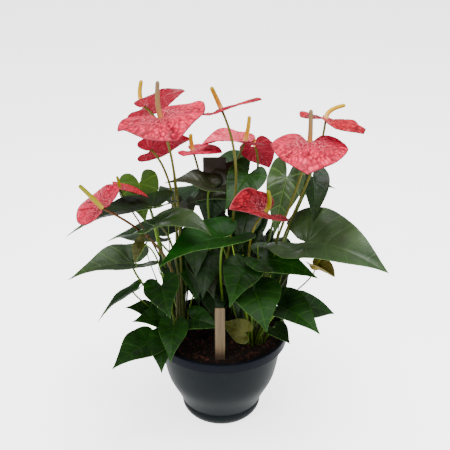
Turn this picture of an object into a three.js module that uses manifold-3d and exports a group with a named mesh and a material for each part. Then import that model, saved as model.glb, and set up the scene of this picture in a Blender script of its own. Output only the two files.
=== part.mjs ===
// A potted anthurium: a bowl-shaped plastic pot filled with potting soil, three crowns of
// heart-shaped leaves on long stalks, eleven open flowers, two young ones and two labels.
// Millimetres, +Z up. The origin is the middle of the pot's flat foot, on the ground.
// The front of the plant looks along -Y.
import * as THREE from 'three';
import { mergeVertices, mergeGeometries } from 'three/addons/utils/BufferGeometryUtils.js';
import Module from 'manifold-3d';

const wasm = await Module();
wasm.setup();

// ---- driving dimensions -------------------------------------------------------------------

const potHeight = 179;
const lipRadius = 125; // outside of the upright lip band
const lipHeight = 18.5; // height of that band
const lipWall = 2.6;
const rimRadius = 118.3; // inside edge of the rim
const footRadius = 62; // the flat that the pot stands on
const potWall = 3;
const potFloor = 4;
const potSides = 36;
const drainHoles = { count: 5, radius: 5, circle: 42 };

const soilTop = 171;
const soilFit = 0.35; // between the soil and the pot
const soilSwell = 1.3; // how uneven the soil's top is

const stalkDepth = 22; // how deep a stalk stands in the soil
const holeFit = 0.45; // between a stalk and its hole
const stalkSides = 5;
const stalkSteps = 6;
const thinSteps = 4; // rings of a small leaf's stalk
const petioleRadius = [2.5, 1.9]; // leaf stalk, at the soil and at the blade
const peduncleRadius = [2.7, 2.1]; // flower stalk
const leafPull = 0.15; // share of its length in which a leaf stalk turns into its blade
const flowerPull = 0.28;

const bladeThickness = 1;
const partGap = 0.35; // between a spathe and the stalk or spadix that meets it
const bladeFlat = 7; // how far round its stalk a blade stays flat
const spatheHub = 7; // flat round the spadix
const lobeLift = 0.35; // how steeply the lobes behind the stalk turn up

// Outline of a heart-shaped blade: side = how wide it is beside the stalk, taper = how soon it
// narrows to the tip, point = how sharp the tip is drawn out, notch = where the cut between the
// two lobes starts, in radians.
const leafShape = { side: 0.42, taper: 0.33, point: 0.8, notch: 2.88, notchPower: 8 };
const spatheShape = { side: 0.53, taper: 0.6, point: 1, notch: 2.7, notchPower: 6 };

// ---- colours ------------------------------------------------------------------------------

const finishes = {
  pot: { color: 0x3c4145, roughness: 0.45, metalness: 0 },
  soil: { color: 0x2b1d16, roughness: 0.95, metalness: 0 },
  wood: { color: 0xd9bf97, roughness: 0.7, metalness: 0 },
  card: { color: 0x2a1a14, roughness: 0.5, metalness: 0 },
  leaf: { color: 0x2b5a2a, roughness: 0.35, metalness: 0 },
  youngLeaf: { color: 0x6d8c34, roughness: 0.4, metalness: 0 },
  stalk: { color: 0x5a6a2c, roughness: 0.5, metalness: 0 },
  spathe: { color: 0xd9525a, roughness: 0.3, metalness: 0 },
  spadix: { color: 0xd8a24a, roughness: 0.6, metalness: 0 },
  bud: { color: 0xa5772f, roughness: 0.5, metalness: 0 },
};

const vec = (x, y, z) => new THREE.Vector3(x, y, z);
const toVec = (place) => vec(place[0], place[1], place[2]);

// ---- solids -------------------------------------------------------------------------------

// A closed mesh as a solid that can be joined and cut.
function solidOf(geometry) {
  const plain = geometry.index ? geometry.toNonIndexed() : geometry.clone();
  plain.deleteAttribute('normal');
  plain.deleteAttribute('uv');
  const merged = mergeVertices(plain, 1e-4);
  const mesh = new wasm.Mesh({
    numProp: 3,
    vertProperties: new Float32Array(merged.attributes.position.array),
    triVerts: new Uint32Array(merged.index.array),
  });
  return new wasm.Manifold(mesh);
}

function geometryOf(solid) {
  const mesh = solid.getMesh();
  const geometry = new THREE.BufferGeometry();
  geometry.setAttribute('position', new THREE.BufferAttribute(mesh.vertProperties, 3));
  geometry.setIndex(new THREE.BufferAttribute(mesh.triVerts, 1));
  geometry.computeVertexNormals();
  return geometry;
}

const joined = (geometries) =>
  geometryOf(geometries.map(solidOf).reduce((all, next) => all.add(next)));

function closedMesh(points, triangles) {
  const geometry = new THREE.BufferGeometry();
  const flat = points.flatMap((point) => [point.x, point.y, point.z]);
  geometry.setAttribute('position', new THREE.Float32BufferAttribute(flat, 3));
  geometry.setIndex(triangles);
  return geometry;
}

// A round solid turned about Z from [radius, height] points that start and end on the axis.
function turned(profile, sides) {
  const points = profile.map(([radius, height]) => new THREE.Vector2(radius, height));
  return new THREE.LatheGeometry(points, sides).rotateX(Math.PI / 2);
}

// A stalk or spadix: few-sided rings along a curve, closed at both ends.
function rod(curve, steps, sides, radiusAt) {
  const points = [];
  const triangles = [];
  let across = vec(1, 0, 0);
  for (let i = 0; i <= steps; i += 1) {
    const t = i / steps;
    const along = curve.getTangent(t);
    across = across.clone().addScaledVector(along, -across.dot(along)).normalize();
    const other = along.clone().cross(across);
    const middle = curve.getPoint(t);
    for (let k = 0; k < sides; k += 1) {
      const turn = (2 * Math.PI * k) / sides;
      const out = across.clone().multiplyScalar(Math.cos(turn)).addScaledVector(other, Math.sin(turn));
      points.push(middle.clone().addScaledVector(out, radiusAt(t)));
    }
  }
  for (let i = 0; i < steps; i += 1) {
    for (let k = 0; k < sides; k += 1) {
      const a = i * sides + k;
      const b = i * sides + ((k + 1) % sides);
      triangles.push(a, b, b + sides, a, b + sides, a + sides);
    }
  }
  for (let k = 1; k < sides - 1; k += 1) {
    const last = steps * sides;
    triangles.push(0, k + 1, k, last, last + k, last + k + 1);
  }
  return closedMesh(points, triangles);
}

// ---- heart-shaped blades ------------------------------------------------------------------

// The blade's own axes at its stalk: towards the tip, to the side, and out of its upper face.
// The midrib is an arc that turns by bend between the stalk and the tip.
function bladeFrame(blade) {
  const start = toVec(blade.at);
  const chord = toVec(blade.tip).sub(start);
  const span = chord.length();
  const reach = chord.clone().divideScalar(span);
  const side = toVec(blade.face).cross(reach).normalize();
  const up = reach.clone().cross(side);
  const half = blade.bend / 2;
  const tip = reach.clone().multiplyScalar(Math.cos(half)).addScaledVector(up, Math.sin(half));
  const face = up.clone().multiplyScalar(Math.cos(half)).addScaledVector(reach, -Math.sin(half));
  return { start, tip, side, face, length: (span * half) / Math.sin(half), bend: blade.bend };
}

function edgeShare(shape, angle) {
  const turn = Math.abs(angle);
  const point = (1 - shape.side) * Math.exp(-((turn / shape.taper) ** shape.point));
  const notch = Math.sqrt(Math.max(0, 1 - (turn / shape.notch) ** shape.notchPower));
  return (shape.side + point) * notch;
}

// A point of the blade's middle surface, at an angle from the midrib and a distance from the
// stalk. The halves fold up from the midrib, the lobes turn up, the margin waves, and all of it
// fades out at the stalk, where the blade is flat.
function bladePoint(frame, blade, angle, distance) {
  const along = distance * Math.cos(angle);
  const aside = distance * Math.sin(angle) * (blade.wide ?? 1);
  const rise = THREE.MathUtils.smoothstep(distance, bladeFlat, 0.3 * frame.length);
  const fold = Math.abs(aside) * Math.tan(blade.fold ?? 0);
  const wave = (blade.wave ?? 0) * Math.sin(5 * angle + (blade.phase ?? 0)) * (distance / frame.length);
  const curl = (blade.curl ?? 0) * Math.max(0, along / frame.length) ** 4;
  const lobe = lobeLift * Math.max(0, -along);
  const lift = rise * (fold + wave + lobe) - curl;
  const rate = frame.bend / frame.length;
  const turn = along * rate;
  const tangent = frame.tip.clone().multiplyScalar(Math.sin(turn) / rate);
  const point = frame.start.clone().add(tangent);
  point.addScaledVector(frame.face, (Math.cos(turn) - 1) / rate + lift * Math.cos(turn));
  point.addScaledVector(frame.tip, lift * Math.sin(turn));
  return point.addScaledVector(frame.side, aside);
}

// A thin closed blade. rings are shares of the way from the stalk to the edge; a first ring
// given in millimetres as hub stays flat.
function bladeSolid(blade, shape, spokes, rings, hub) {
  const frame = bladeFrame(blade);
  const middle = [frame.start.clone()];
  const limit = 0.985 * shape.notch;
  for (let i = 0; i <= spokes; i += 1) {
    const even = (2 * i) / spokes - 1;
    const angle = limit * even * (0.72 + 0.28 * even * even);
    const edge = edgeShare(shape, angle) * frame.length;
    if (hub) middle.push(bladePoint(frame, blade, angle, Math.min(hub, 0.4 * edge)));
    rings.forEach((share) => middle.push(bladePoint(frame, blade, angle, share * edge)));
  }
  const row = rings.length + (hub ? 1 : 0);
  const at = (spoke, ring) => (ring === 0 ? 0 : 1 + spoke * row + ring - 1);
  const face = [];
  for (let i = 0; i < spokes; i += 1) {
    face.push([0, at(i, 1), at(i + 1, 1)]);
    for (let j = 1; j < row; j += 1) {
      face.push([at(i, j), at(i, j + 1), at(i + 1, j + 1)]);
      face.push([at(i, j), at(i + 1, j + 1), at(i + 1, j)]);
    }
  }
  const normals = middle.map(() => vec(0, 0, 0));
  face.forEach(([a, b, c]) => {
    const normal = middle[b].clone().sub(middle[a]).cross(middle[c].clone().sub(middle[a]));
    [a, b, c].forEach((corner) => normals[corner].add(normal));
  });
  if (hub) normals[0].copy(frame.face);
  const half = bladeThickness / 2;
  const offset = (sign) => middle.map((point, i) =>
    point.clone().addScaledVector(normals[i].clone().normalize(), sign * half));
  const count = middle.length;
  const triangles = [];
  face.forEach(([a, b, c]) => {
    triangles.push(a, b, c);
    triangles.push(count + a, count + c, count + b);
  });
  const rim = [];
  for (let j = 0; j < row; j += 1) rim.push(at(0, j));
  for (let i = 0; i <= spokes; i += 1) rim.push(at(i, row));
  for (let j = row - 1; j > 0; j -= 1) rim.push(at(spokes, j));
  rim.forEach((from, i) => {
    const to = rim[(i + 1) % rim.length];
    triangles.push(to, from, count + from, to, count + from, count + to);
  });
  return closedMesh([...offset(1), ...offset(-1)], triangles);
}

// The way of a stalk: upright out of the soil, bowed by hand where it has to pass another
// piece, and into the blade from below.
function stalkCurve(base, end, arrive, bow, pull) {
  const foot = vec(base[0], base[1], soilTop - stalkDepth);
  const collar = vec(base[0], base[1], soilTop + 2);
  const height = end.distanceTo(collar);
  const rise = collar.clone().add(vec(bow[0], bow[1], 0.34 * height + bow[2]));
  rise.lerp(end, 0.12);
  const turn = end.clone().addScaledVector(arrive, -pull * height).add(toVec(bow));
  const path = new THREE.CurvePath();
  path.add(new THREE.LineCurve3(foot, collar));
  path.add(new THREE.CubicBezierCurve3(collar, rise, turn, end));
  return path;
}

// Rings of the stalk: one at its foot and one at the soil, the rest along the bend, and the
// last one square to the blade.
function stalkSolid(base, end, arrive, bow, radii, pull, bends) {
  const path = stalkCurve(base, end, arrive, bow, pull);
  const bend = path.curves[1];
  const spaced = {
    getPoint: (t) => (t === 0 ? path.curves[0].getPoint(0) : bend.getPoint(shift(t))),
    getTangent: (t) => {
      if (t === 0) return vec(0, 0, 1);
      return t === 1 ? arrive : bend.getTangent(shift(t));
    },
  };
  const steps = bends + 1;
  const shift = (t) => Math.max(0, (t * steps - 1) / bends);
  const radiusAt = (t) => THREE.MathUtils.lerp(radii[0], radii[1], shift(t));
  return rod(spaced, steps, stalkSides, radiusAt);
}

function leafSolids(leaf) {
  const frame = bladeFrame(leaf);
  const small = leaf.small ?? false;
  const spokes = small ? 10 : 14;
  const blade = bladeSolid(leaf, leafShape, spokes, [0.5, 1], 0);
  const radii = small ? petioleRadius.map((r) => 0.75 * r) : petioleRadius;
  const bends = small ? thinSteps : stalkSteps;
  return [blade, stalkSolid(leaf.base, frame.start, frame.face, leaf.bow, radii, leafPull, bends)];
}

function flowerSolids(flower, scale, clear) {
  const frame = bladeFrame(flower);
  const below = frame.start.clone().addScaledVector(frame.face, -clear);
  const above = frame.start.clone().addScaledVector(frame.face, clear);
  const top = toVec(flower.spadix);
  const lean = above.clone().addScaledVector(frame.face, 0.45 * above.distanceTo(top));
  const spadixCurve = new THREE.QuadraticBezierCurve3(above, lean, top);
  const spadixRadius = (t) => scale * (t > 0.9 ? 1.8 : 4.3 - 1.1 * t);
  const radii = peduncleRadius.map((r) => scale * r);
  return {
    peduncle: stalkSolid(flower.base, below, frame.face, flower.bow, radii, flowerPull, stalkSteps),
    spathe: bladeSolid(flower, spatheShape, 14, [0.55, 1], scale * spatheHub),
    spadix: rod(spadixCurve, 5, 6, spadixRadius),
  };
}

// ---- the plant, by hand from the front view ------------------------------------------------
// base = where the stalk leaves the soil, at = where it meets the blade, tip = the blade's
// point, face = which way its upper side looks.

const leftCrown = [-80, -5];
const rightCrown = [60, -35];
const backCrown = [5, 48];
const near = (crown, x, y) => [crown[0] + x, crown[1] + y];

const leaves = [
  {
    name: 'leaf_left_far', base: near(leftCrown, -17, -4), bow: [6, 40, 0],
    at: [-124, -35, 450], tip: [-267, -70, 410], face: [0.2, 0.2, 1], bend: 0.6, fold: 0.2, wave: 4,
    wide: 0.75,
  },
  {
    name: 'leaf_left_young', base: near(leftCrown, -15, 4), bow: [-4, 25, 0],
    at: [-150, 62, 452], tip: [-138, 24, 390], face: [-0.3, -0.6, 0.6], bend: 0.5, fold: 0.1, wave: 6,
    wide: 1.25, young: true,
  },
  {
    name: 'leaf_left_long', base: near(leftCrown, -16, -12), bow: [0, 0, 0],
    at: [-160, -22, 332], tip: [-270, -70, 324], face: [0.1, 0, 1], bend: 0.6, fold: 0.3, wave: 4,
    wide: 0.9,
  },
  {
    name: 'leaf_left_heart', base: near(leftCrown, -4, -15), bow: [0, 0, 0],
    at: [-106, -59, 306], tip: [-87, -127, 278], face: [-0.1, -0.75, 0.6], bend: 0.7, fold: 0.1, wave: 3,
  },
  {
    name: 'leaf_left_centre', base: near(leftCrown, 2, -17), bow: [10, 18, 0],
    at: [-108, -65, 433], tip: [-10, -110, 440], face: [0, -0.05, 1], bend: 1.1, fold: 0.1, wave: 4,
    curl: 12, wide: 0.9,
  },
  {
    name: 'leaf_centre_front', base: near(backCrown, 2, -26), bow: [-7, -20, 0],
    at: [6, -72, 410], tip: [-104, -142, 388], face: [0.1, 0.1, 1], bend: 0.7, fold: 0.2, wave: 3,
  },
  {
    name: 'leaf_top_centre', base: near(backCrown, 12, -6), bow: [0, 0, 0],
    at: [50, 60, 472], tip: [6, -18, 433], face: [0.1, -0.6, 0.8], bend: 0.6, fold: 0.05, wave: 5,
    wide: 0.8,
  },
  {
    name: 'leaf_top_left', base: near(backCrown, -4, -4), bow: [0, 0, 0],
    at: [-18, 44, 456], tip: [-101, 10, 476], face: [0.1, -0.15, 1], bend: 0.5, fold: 0.2, wave: 6,
    wide: 0.9,
  },
  {
    name: 'leaf_right_upright', base: near(rightCrown, 6, 8), bow: [-10, 12, 0],
    at: [120, 54, 468], tip: [96, 2, 374], face: [-0.2, -0.9, 0.5], bend: 0.6, fold: 0.15, wave: 4,
    wide: 0.7,
  },
  {
    name: 'leaf_right_behind', base: near(rightCrown, 13, 16), bow: [0, 0, 0],
    at: [170, 81, 456], tip: [167, 11, 399], face: [0.3, -0.6, 0.6], bend: 0.7, fold: 0.25, wave: 4,
    wide: 0.75,
  },
  {
    name: 'leaf_right_big', base: near(rightCrown, 12, 2), bow: [0, 22, 0],
    at: [153, -20, 374], tip: [291, -98, 353], face: [-0.05, -0.3, 1], bend: 0.8, fold: 0.3, wave: 6,
  },
  {
    name: 'leaf_right_under', base: near(rightCrown, -4, -2), bow: [0, 0, 0],
    at: [77, -48, 355], tip: [172, -80, 332], face: [0, -0.3, 1], bend: 0.5, fold: 0.1, wave: 2,
    wide: 0.8,
  },
  {
    name: 'leaf_centre_low', base: near(rightCrown, -14, 0), bow: [0, 0, 0],
    at: [42, -62, 344], tip: [15, -132, 304], face: [-0.1, -0.7, 0.7], bend: 0.9, fold: 0.1, wave: 3,
    wide: 0.94,
  },
  {
    name: 'leaf_front_right', base: near(rightCrown, -2, -14), bow: [-4, 0, 0],
    at: [59, -80, 308], tip: [79, -155, 268], face: [0.1, -0.6, 0.8], bend: 0.9, fold: 0.1, wave: 4,
    wide: 1.2,
  },
  {
    name: 'leaf_right_low', base: near(rightCrown, 8, -12), bow: [0, 0, 0],
    at: [104, -60, 264], tip: [174, -130, 248], face: [0.2, -0.4, 0.9], bend: 0.8, fold: 0.25, wave: 3,
  },
];

const shoots = [
  {
    name: 'shoot_front_left', foot: near(leftCrown, -6, -26),
    leaves: [
      { at: [-133, -75, 194], tip: [-194, -132, 176], face: [-0.3, -0.4, 0.9], bend: 0.5, fold: 0.15, wide: 1.1 },
      { at: [-85, -85, 235], tip: [-88, -154, 205], face: [0, -0.6, 0.8], bend: 0.7, fold: 0.1, wide: 0.8 },
      { at: [-104, -72, 202], tip: [-105, -140, 172], face: [-0.2, -0.5, 0.8], bend: 0.6, fold: 0.1, wide: 0.9 },
    ],
  },
  {
    name: 'shoot_left', foot: near(leftCrown, -26, 4),
    leaves: [
      { at: [-161, -33, 279], tip: [-223, -70, 236], face: [-0.5, 0.05, 0.72], bend: 0.6, fold: 0.2, wide: 0.7 },
      { at: [-132, -30, 233], tip: [-175, -50, 255], face: [0.2, -0.4, 1], bend: 0.4, fold: 0.2 },
      { at: [-113, -50, 229], tip: [-160, -80, 243], face: [0.1, -0.4, 1], bend: 0.4, fold: 0.2 },
      {
        at: [-132, -88, 404], tip: [-145, -100, 366], face: [-0.6, -0.5, 0.4], bend: 0.9, fold: 0.5,
        wide: 0.8, bow: [2, 30, 0],
      },
    ],
  },
  {
    name: 'shoot_centre', foot: near(rightCrown, -14, -10),
    leaves: [
      { at: [42, -71, 216], tip: [0, -41, 219], face: [0, -0.9, 0.4], bend: 0.4, fold: 0.1 },
      { at: [-50, -60, 237], tip: [0, -85, 232], face: [0, -0.5, 0.8], bend: 0.6, fold: 0.2 },
      {
        at: [28, -2, 280], tip: [32, -42, 230], face: [0, -0.7, 0.7], bend: 0.6, fold: 0.1, wide: 0.72,
        bow: [-20, -4, 0],
      },
    ],
  },
  {
    name: 'shoot_right', foot: near(rightCrown, 22, -4),
    leaves: [
      { at: [147, -20, 238], tip: [215, -2, 211], face: [0, -0.4, 1], bend: 0.6, fold: 0.2 },
      { at: [101, -58, 214], tip: [125, -95, 205], face: [0.1, -0.5, 0.9], bend: 0.5, fold: 0.1 },
    ],
  },
  {
    name: 'shoot_back_left', foot: near(backCrown, -12, 10), big: true,
    leaves: [
      { at: [-68, 120, 390], tip: [-122, 215, 372], face: [-0.1, 0.4, 1], bend: 0.8, fold: 0.2, wave: 5 },
      { at: [-124, 114, 318], tip: [-232, 150, 285], face: [-0.3, 0.1, 1], bend: 0.7, fold: 0.2, wave: 4 },
      { at: [-40, 120, 300], tip: [-50, 210, 255], face: [0, 0.6, 0.8], bend: 0.8, fold: 0.15, wave: 4 },
      { at: [-26, 0, 330], tip: [-34, -48, 270], face: [0, -0.8, 0.6], bend: 0.7, wide: 0.8, small: true },
      { at: [-44, 16, 322], tip: [-42, -24, 258], face: [0, -0.8, 0.5], bend: 0.7, wide: 0.7, small: true },
    ],
  },
  {
    name: 'shoot_back_right', foot: near(backCrown, 14, 12), big: true,
    leaves: [
      { at: [20, 138, 450], tip: [42, 215, 456], face: [0, 0.1, 1], bend: 0.7, fold: 0.25, wave: 5 },
      { at: [140, 122, 408], tip: [225, 165, 396], face: [0.1, 0.1, 1], bend: 0.8, fold: 0.25, wave: 4 },
      { at: [75, 120, 300], tip: [110, 215, 250], face: [0.2, 0.6, 0.8], bend: 0.8, fold: 0.15, wave: 4 },
      { at: [48, 30, 404], tip: [32, -28, 358], face: [0, -0.7, 0.7], bend: 0.7, wide: 0.85, small: true },
    ],
  },
];

const flowers = [
  {
    base: near(leftCrown, 7, -6), bow: [0, 50, 0], wave: 6, phase: 0.2, fold: 0.05, bend: 0.7, wide: 1.5,
    at: [-98, -60, 622], tip: [-66, -140, 612], face: [0.05, -0.6, 0.9], spadix: [-101, -55, 684],
  },
  {
    base: near(leftCrown, -2, 5), bow: [-6, 80, 0], wave: 3, phase: 1.5, fold: -0.1, bend: 0.3, wide: 0.85,
    at: [-131, 22, 614], tip: [-62, 80, 621], face: [0, 0.9, 0.6], spadix: [-135, 30, 659],
  },
  {
    base: near(backCrown, -3, -16), bow: [0, 0, 0], wave: 2, fold: 0.05, bend: 0.3,
    at: [3, -45, 629], tip: [67, -79, 660], face: [-0.35, 0.32, 0.88], spadix: [-15, -50, 672],
  },
  {
    base: near(backCrown, 6, 16), bow: [0, 44, 0], wave: 3, fold: 0.25, bend: 0.7,
    at: [43, 100, 517], tip: [-37, 75, 521], face: [0, 0.1, 1], spadix: [52, 105, 568],
  },
  {
    base: near(rightCrown, 4, -4), bow: [-5, 40, 0], wave: 3, phase: 1.5, fold: -0.1, bend: 0.6,
    at: [151, -30, 569], tip: [138, -143, 555], face: [0, -0.2, 1], spadix: [151, -25, 625],
  },
  {
    base: near(rightCrown, 10, 23), bow: [2, 28, 0], wave: 8, phase: 0.8, bend: 0.6,
    at: [184, 40, 585], tip: [237, -40, 582], face: [0.4, -0.1, 0.9], spadix: [219, 50, 607],
  },
  {
    base: near(leftCrown, -9, -9), bow: [48, 12, 4], wave: 2, fold: 0.1, bend: 0.4, wide: 0.95,
    at: [-198, -98, 478], tip: [-236, -26, 459], face: [-0.6, -0.1, 0.8], spadix: [-231, -111, 525],
  },
  {
    base: near(rightCrown, -4, 8), bow: [0, 40, 0], wave: 2, fold: 0.3, bend: 0.4,
    at: [77, -70, 457], tip: [14, -112, 482], face: [-0.1, -0.35, 0.9], spadix: [79, -75, 500],
  },
  {
    base: near(leftCrown, 3, 12), bow: [0, 20, 0], wave: 3, fold: 0.1, bend: 0.4, wide: 0.75,
    at: [-127, 75, 513], tip: [-54, 110, 521], face: [0.15, 0.9, 0.4], spadix: [-118, 100, 546],
  },
  {
    base: near(backCrown, -6, 22), bow: [0, 0, 0], wave: 1, bend: 0.4, wide: 0.9,
    at: [-52, 95, 505], tip: [3, 62, 513], face: [-0.1, 0.05, 1], spadix: [-55, 95, 537],
  },
  {
    base: near(backCrown, 16, 28), bow: [12, 50, 0], wave: 2, fold: 0.1, bend: 0.4,
    at: [64, 112, 503], tip: [92, 128, 456], face: [0, 0.95, 0.35], spadix: [62, 150, 507],
  },
];

const youngFlowers = [
  {
    name: 'young_flower_left', base: near(leftCrown, -8, 5), bow: [20, 60, 0], fold: 0.3, bend: 0.3,
    at: [-179, -4, 471], tip: [-126, -18, 460], face: [0, 0.1, 0.95], spadix: [-182, -4, 495], scale: 0.7,
    wide: 0.5,
  },
  {
    name: 'young_flower_right', base: near(rightCrown, 16, -6), bow: [0, 30, 0], fold: 0.6, bend: 0.3,
    at: [172, -20, 319], tip: [205, -45, 315], face: [0.5, -0.2, 0.8], spadix: [182, -20, 342], scale: 0.6,
  },
];

// ---- pot, soil and labels -----------------------------------------------------------------

// The bowl's outside above its waist, and the same curve for its inside.
const bowl = new THREE.SplineCurve([
  new THREE.Vector2(75.8, 29),
  new THREE.Vector2(85.4, 50),
  new THREE.Vector2(101.7, 84),
  new THREE.Vector2(109.8, 120),
  new THREE.Vector2(115, 158),
]);

function bowlInside(inset) {
  return bowl.getPoints(5).map((point) => [point.x - potWall - inset, point.y]).reverse();
}

function potGeometry() {
  const lipBottom = potHeight - lipHeight;
  const lipRoof = potHeight - 6;
  const foot = [[0, 0], [footRadius, 0], [69, 6], [74.5, 14], [76.2, 21], [75.2, 26]];
  const wall = bowl.getPoints(6).map((point) => [point.x, point.y]);
  const lip = [
    [rimRadius + 0.6, lipRoof], [lipRadius - lipWall, lipRoof],
    [lipRadius - lipWall, lipBottom], [lipRadius - 0.3, lipBottom],
    [lipRadius, potHeight - 2], [lipRadius - 1.6, potHeight],
    [rimRadius + 1.4, potHeight], [rimRadius, potHeight - 1.6],
  ];
  const inside = [...bowlInside(0), [70, potFloor + 12], [62, potFloor], [0, potFloor]];
  let pot = solidOf(turned([...foot, ...wall, ...lip, ...inside], potSides));
  for (let i = 0; i < drainHoles.count; i += 1) {
    const turn = (2 * Math.PI * (i + 0.5)) / drainHoles.count;
    const hole = new THREE.CylinderGeometry(drainHoles.radius, drainHoles.radius, 20, 10);
    hole.rotateX(Math.PI / 2);
    hole.translate(drainHoles.circle * Math.cos(turn), drainHoles.circle * Math.sin(turn), 0);
    pot = pot.subtract(solidOf(hole));
  }
  return geometryOf(pot);
}

// The soil fills the pot nearly to the rim, a little higher in the middle and uneven on top.
function soilGeometry(holes) {
  const bottom = potFloor + soilFit;
  const wall = bowlInside(soilFit).reverse();
  const edge = wall[wall.length - 1][0];
  const profile = [
    [0, bottom], [62 - soilFit, bottom], [70 - soilFit, potFloor + 12], ...wall,
    [edge + 2, soilTop - 4.5], [edge - 18, soilTop - 1.5], [60, soilTop - 0.5], [28, soilTop], [0, soilTop],
  ];
  const soil = turned(profile, potSides);
  const place = soil.attributes.position;
  for (let i = 0; i < place.count; i += 1) {
    const [x, y, z] = [place.getX(i), place.getY(i), place.getZ(i)];
    const middle = z > soilTop - 3 ? 1 : 0;
    place.setZ(i, z - middle * soilSwell * (1 + Math.sin(0.07 * x + 1) * Math.cos(0.09 * y)) * 0.5);
  }
  return geometryOf(holes.reduce((left, hole) => left.subtract(solidOf(hole)), solidOf(soil)));
}

function stalkHole(base, radius) {
  const outline = new THREE.Shape();
  for (let k = 0; k < stalkSides; k += 1) {
    const turn = (2 * Math.PI * k) / stalkSides;
    const reach = radius + holeFit;
    outline[k ? 'lineTo' : 'moveTo'](base[0] + reach * Math.cos(turn), base[1] + reach * Math.sin(turn));
  }
  const hole = new THREE.ExtrudeGeometry(outline, { depth: stalkDepth + 20, bevelEnabled: false });
  return hole.translate(0, 0, soilTop - stalkDepth - 0.5);
}

const stick = { x: -1.5, y: -93, width: 18, thickness: 2, top: 280, depth: 45 };
const card = { x: -12, y: 90, width: 43, thickness: 1.2, top: 493, bottom: 379, stem: 12, depth: 40 };

function slab(points, thickness, y) {
  const outline = new THREE.Shape(points.map(([x, z]) => new THREE.Vector2(x, z)));
  const plate = new THREE.ExtrudeGeometry(outline, { depth: thickness, bevelEnabled: false });
  return plate.rotateX(Math.PI / 2).translate(0, y + thickness / 2, 0);
}

function stickPoints(grow) {
  const half = stick.width / 2 + grow;
  const bottom = soilTop - stick.depth - grow;
  const point = [[stick.x - half + 5, bottom], [stick.x + half - 5, bottom]];
  const shoulder = soilTop - stick.depth + 14;
  return [...point, [stick.x + half, shoulder], [stick.x + half, stick.top],
    [stick.x - half, stick.top], [stick.x - half, shoulder]];
}

function cardPoints(grow) {
  const half = card.width / 2;
  const stem = card.stem / 2 + grow;
  const bottom = soilTop - card.depth - grow;
  return [[card.x - stem + 3, bottom], [card.x + stem - 3, bottom], [card.x + stem, soilTop - 20],
    [card.x + stem, card.bottom - 12], [card.x + half, card.bottom], [card.x + half, card.top],
    [card.x - half, card.top], [card.x - half, card.bottom], [card.x - stem, card.bottom - 12],
    [card.x - stem, soilTop - 20]];
}

// ---- assembly -----------------------------------------------------------------------------

const group = new THREE.Group();
group.name = 'potted_anthurium';

function addPart(name, geometry, finish) {
  const part = new THREE.Mesh(geometry, new THREE.MeshStandardMaterial(finishes[finish]));
  part.name = name;
  group.add(part);
}

const holes = [
  slab(stickPoints(0.4), stick.thickness + 0.8, stick.y),
  slab(cardPoints(0.4), card.thickness + 0.8, card.y),
];

leaves.forEach((leaf) => {
  addPart(leaf.name, joined(leafSolids(leaf)), leaf.young ? 'youngLeaf' : 'leaf');
  holes.push(stalkHole(leaf.base, petioleRadius[0]));
});

// The stalks of a shoot grow from one foot, fanned out a little and grown together there.
shoots.forEach((shoot) => {
  const solids = shoot.leaves.flatMap((leaf, i) => {
    const base = near(shoot.foot, (i - 1) * 2.4, (i % 2) * 2);
    holes.push(stalkHole(base, petioleRadius[0]));
    return leafSolids({ bow: [0, 0, 0], wave: 2, small: !shoot.big, ...leaf, base });
  });
  addPart(shoot.name, joined(solids), 'leaf');
});

flowers.forEach((flower, i) => {
  const { peduncle, spathe, spadix } = flowerSolids(flower, 1, bladeThickness / 2 + partGap);
  addPart(`peduncle_${i + 1}`, peduncle, 'stalk');
  addPart(`spathe_${i + 1}`, spathe, 'spathe');
  addPart(`spadix_${i + 1}`, spadix, 'spadix');
  holes.push(stalkHole(flower.base, peduncleRadius[0]));
});

// A young flower is still one body from stalk to spadix.
youngFlowers.forEach((flower) => {
  const { peduncle, spathe, spadix } = flowerSolids(flower, flower.scale, 0);
  addPart(flower.name, joined([peduncle, spathe, spadix]), 'bud');
  holes.push(stalkHole(flower.base, peduncleRadius[0]));
});

addPart('pot', potGeometry(), 'pot');
addPart('soil', soilGeometry(holes), 'soil');
addPart('stick_label', slab(stickPoints(0), stick.thickness, stick.y), 'wood');
addPart('care_card', slab(cardPoints(0), card.thickness, card.y), 'card');

export default group;
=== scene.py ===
import random
from math import atan2, cos, exp, floor, pi, sin, sqrt, tan, radians

import bmesh
import bpy
from mathutils import Matrix, Vector, noise
from mathutils.geometry import interpolate_bezier


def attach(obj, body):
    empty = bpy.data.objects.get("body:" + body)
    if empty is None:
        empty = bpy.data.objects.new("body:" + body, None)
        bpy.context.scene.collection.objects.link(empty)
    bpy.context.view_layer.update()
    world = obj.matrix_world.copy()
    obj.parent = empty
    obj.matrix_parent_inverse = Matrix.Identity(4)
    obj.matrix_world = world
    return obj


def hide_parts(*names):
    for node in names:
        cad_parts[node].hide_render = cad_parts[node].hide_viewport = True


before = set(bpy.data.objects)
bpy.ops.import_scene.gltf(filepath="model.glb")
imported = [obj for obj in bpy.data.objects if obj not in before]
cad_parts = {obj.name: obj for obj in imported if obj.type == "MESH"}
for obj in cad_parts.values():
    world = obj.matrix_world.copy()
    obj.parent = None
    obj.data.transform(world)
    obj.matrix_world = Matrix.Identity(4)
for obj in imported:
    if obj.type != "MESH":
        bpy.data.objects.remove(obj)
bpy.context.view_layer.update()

# Potted anthurium. Everything is modelled in millimetres and scaled to metres at the end.
mm = 0.001

camera = {"at": (7.5, -1480, 1127), "down": 26.23, "lens": 73.2, "farEnd": 20000}


def addCamera():
    data = bpy.data.cameras.new("camera")
    data.lens = camera["lens"]
    data.clip_end = camera["farEnd"] * mm
    view = bpy.data.objects.new("camera", data)
    view.location = Vector(camera["at"]) * mm
    view.rotation_euler = (radians(90 - camera["down"]), 0, 0)
    bpy.context.scene.collection.objects.link(view)
    bpy.context.scene.camera = view


addCamera()
print("camera placed")


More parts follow.
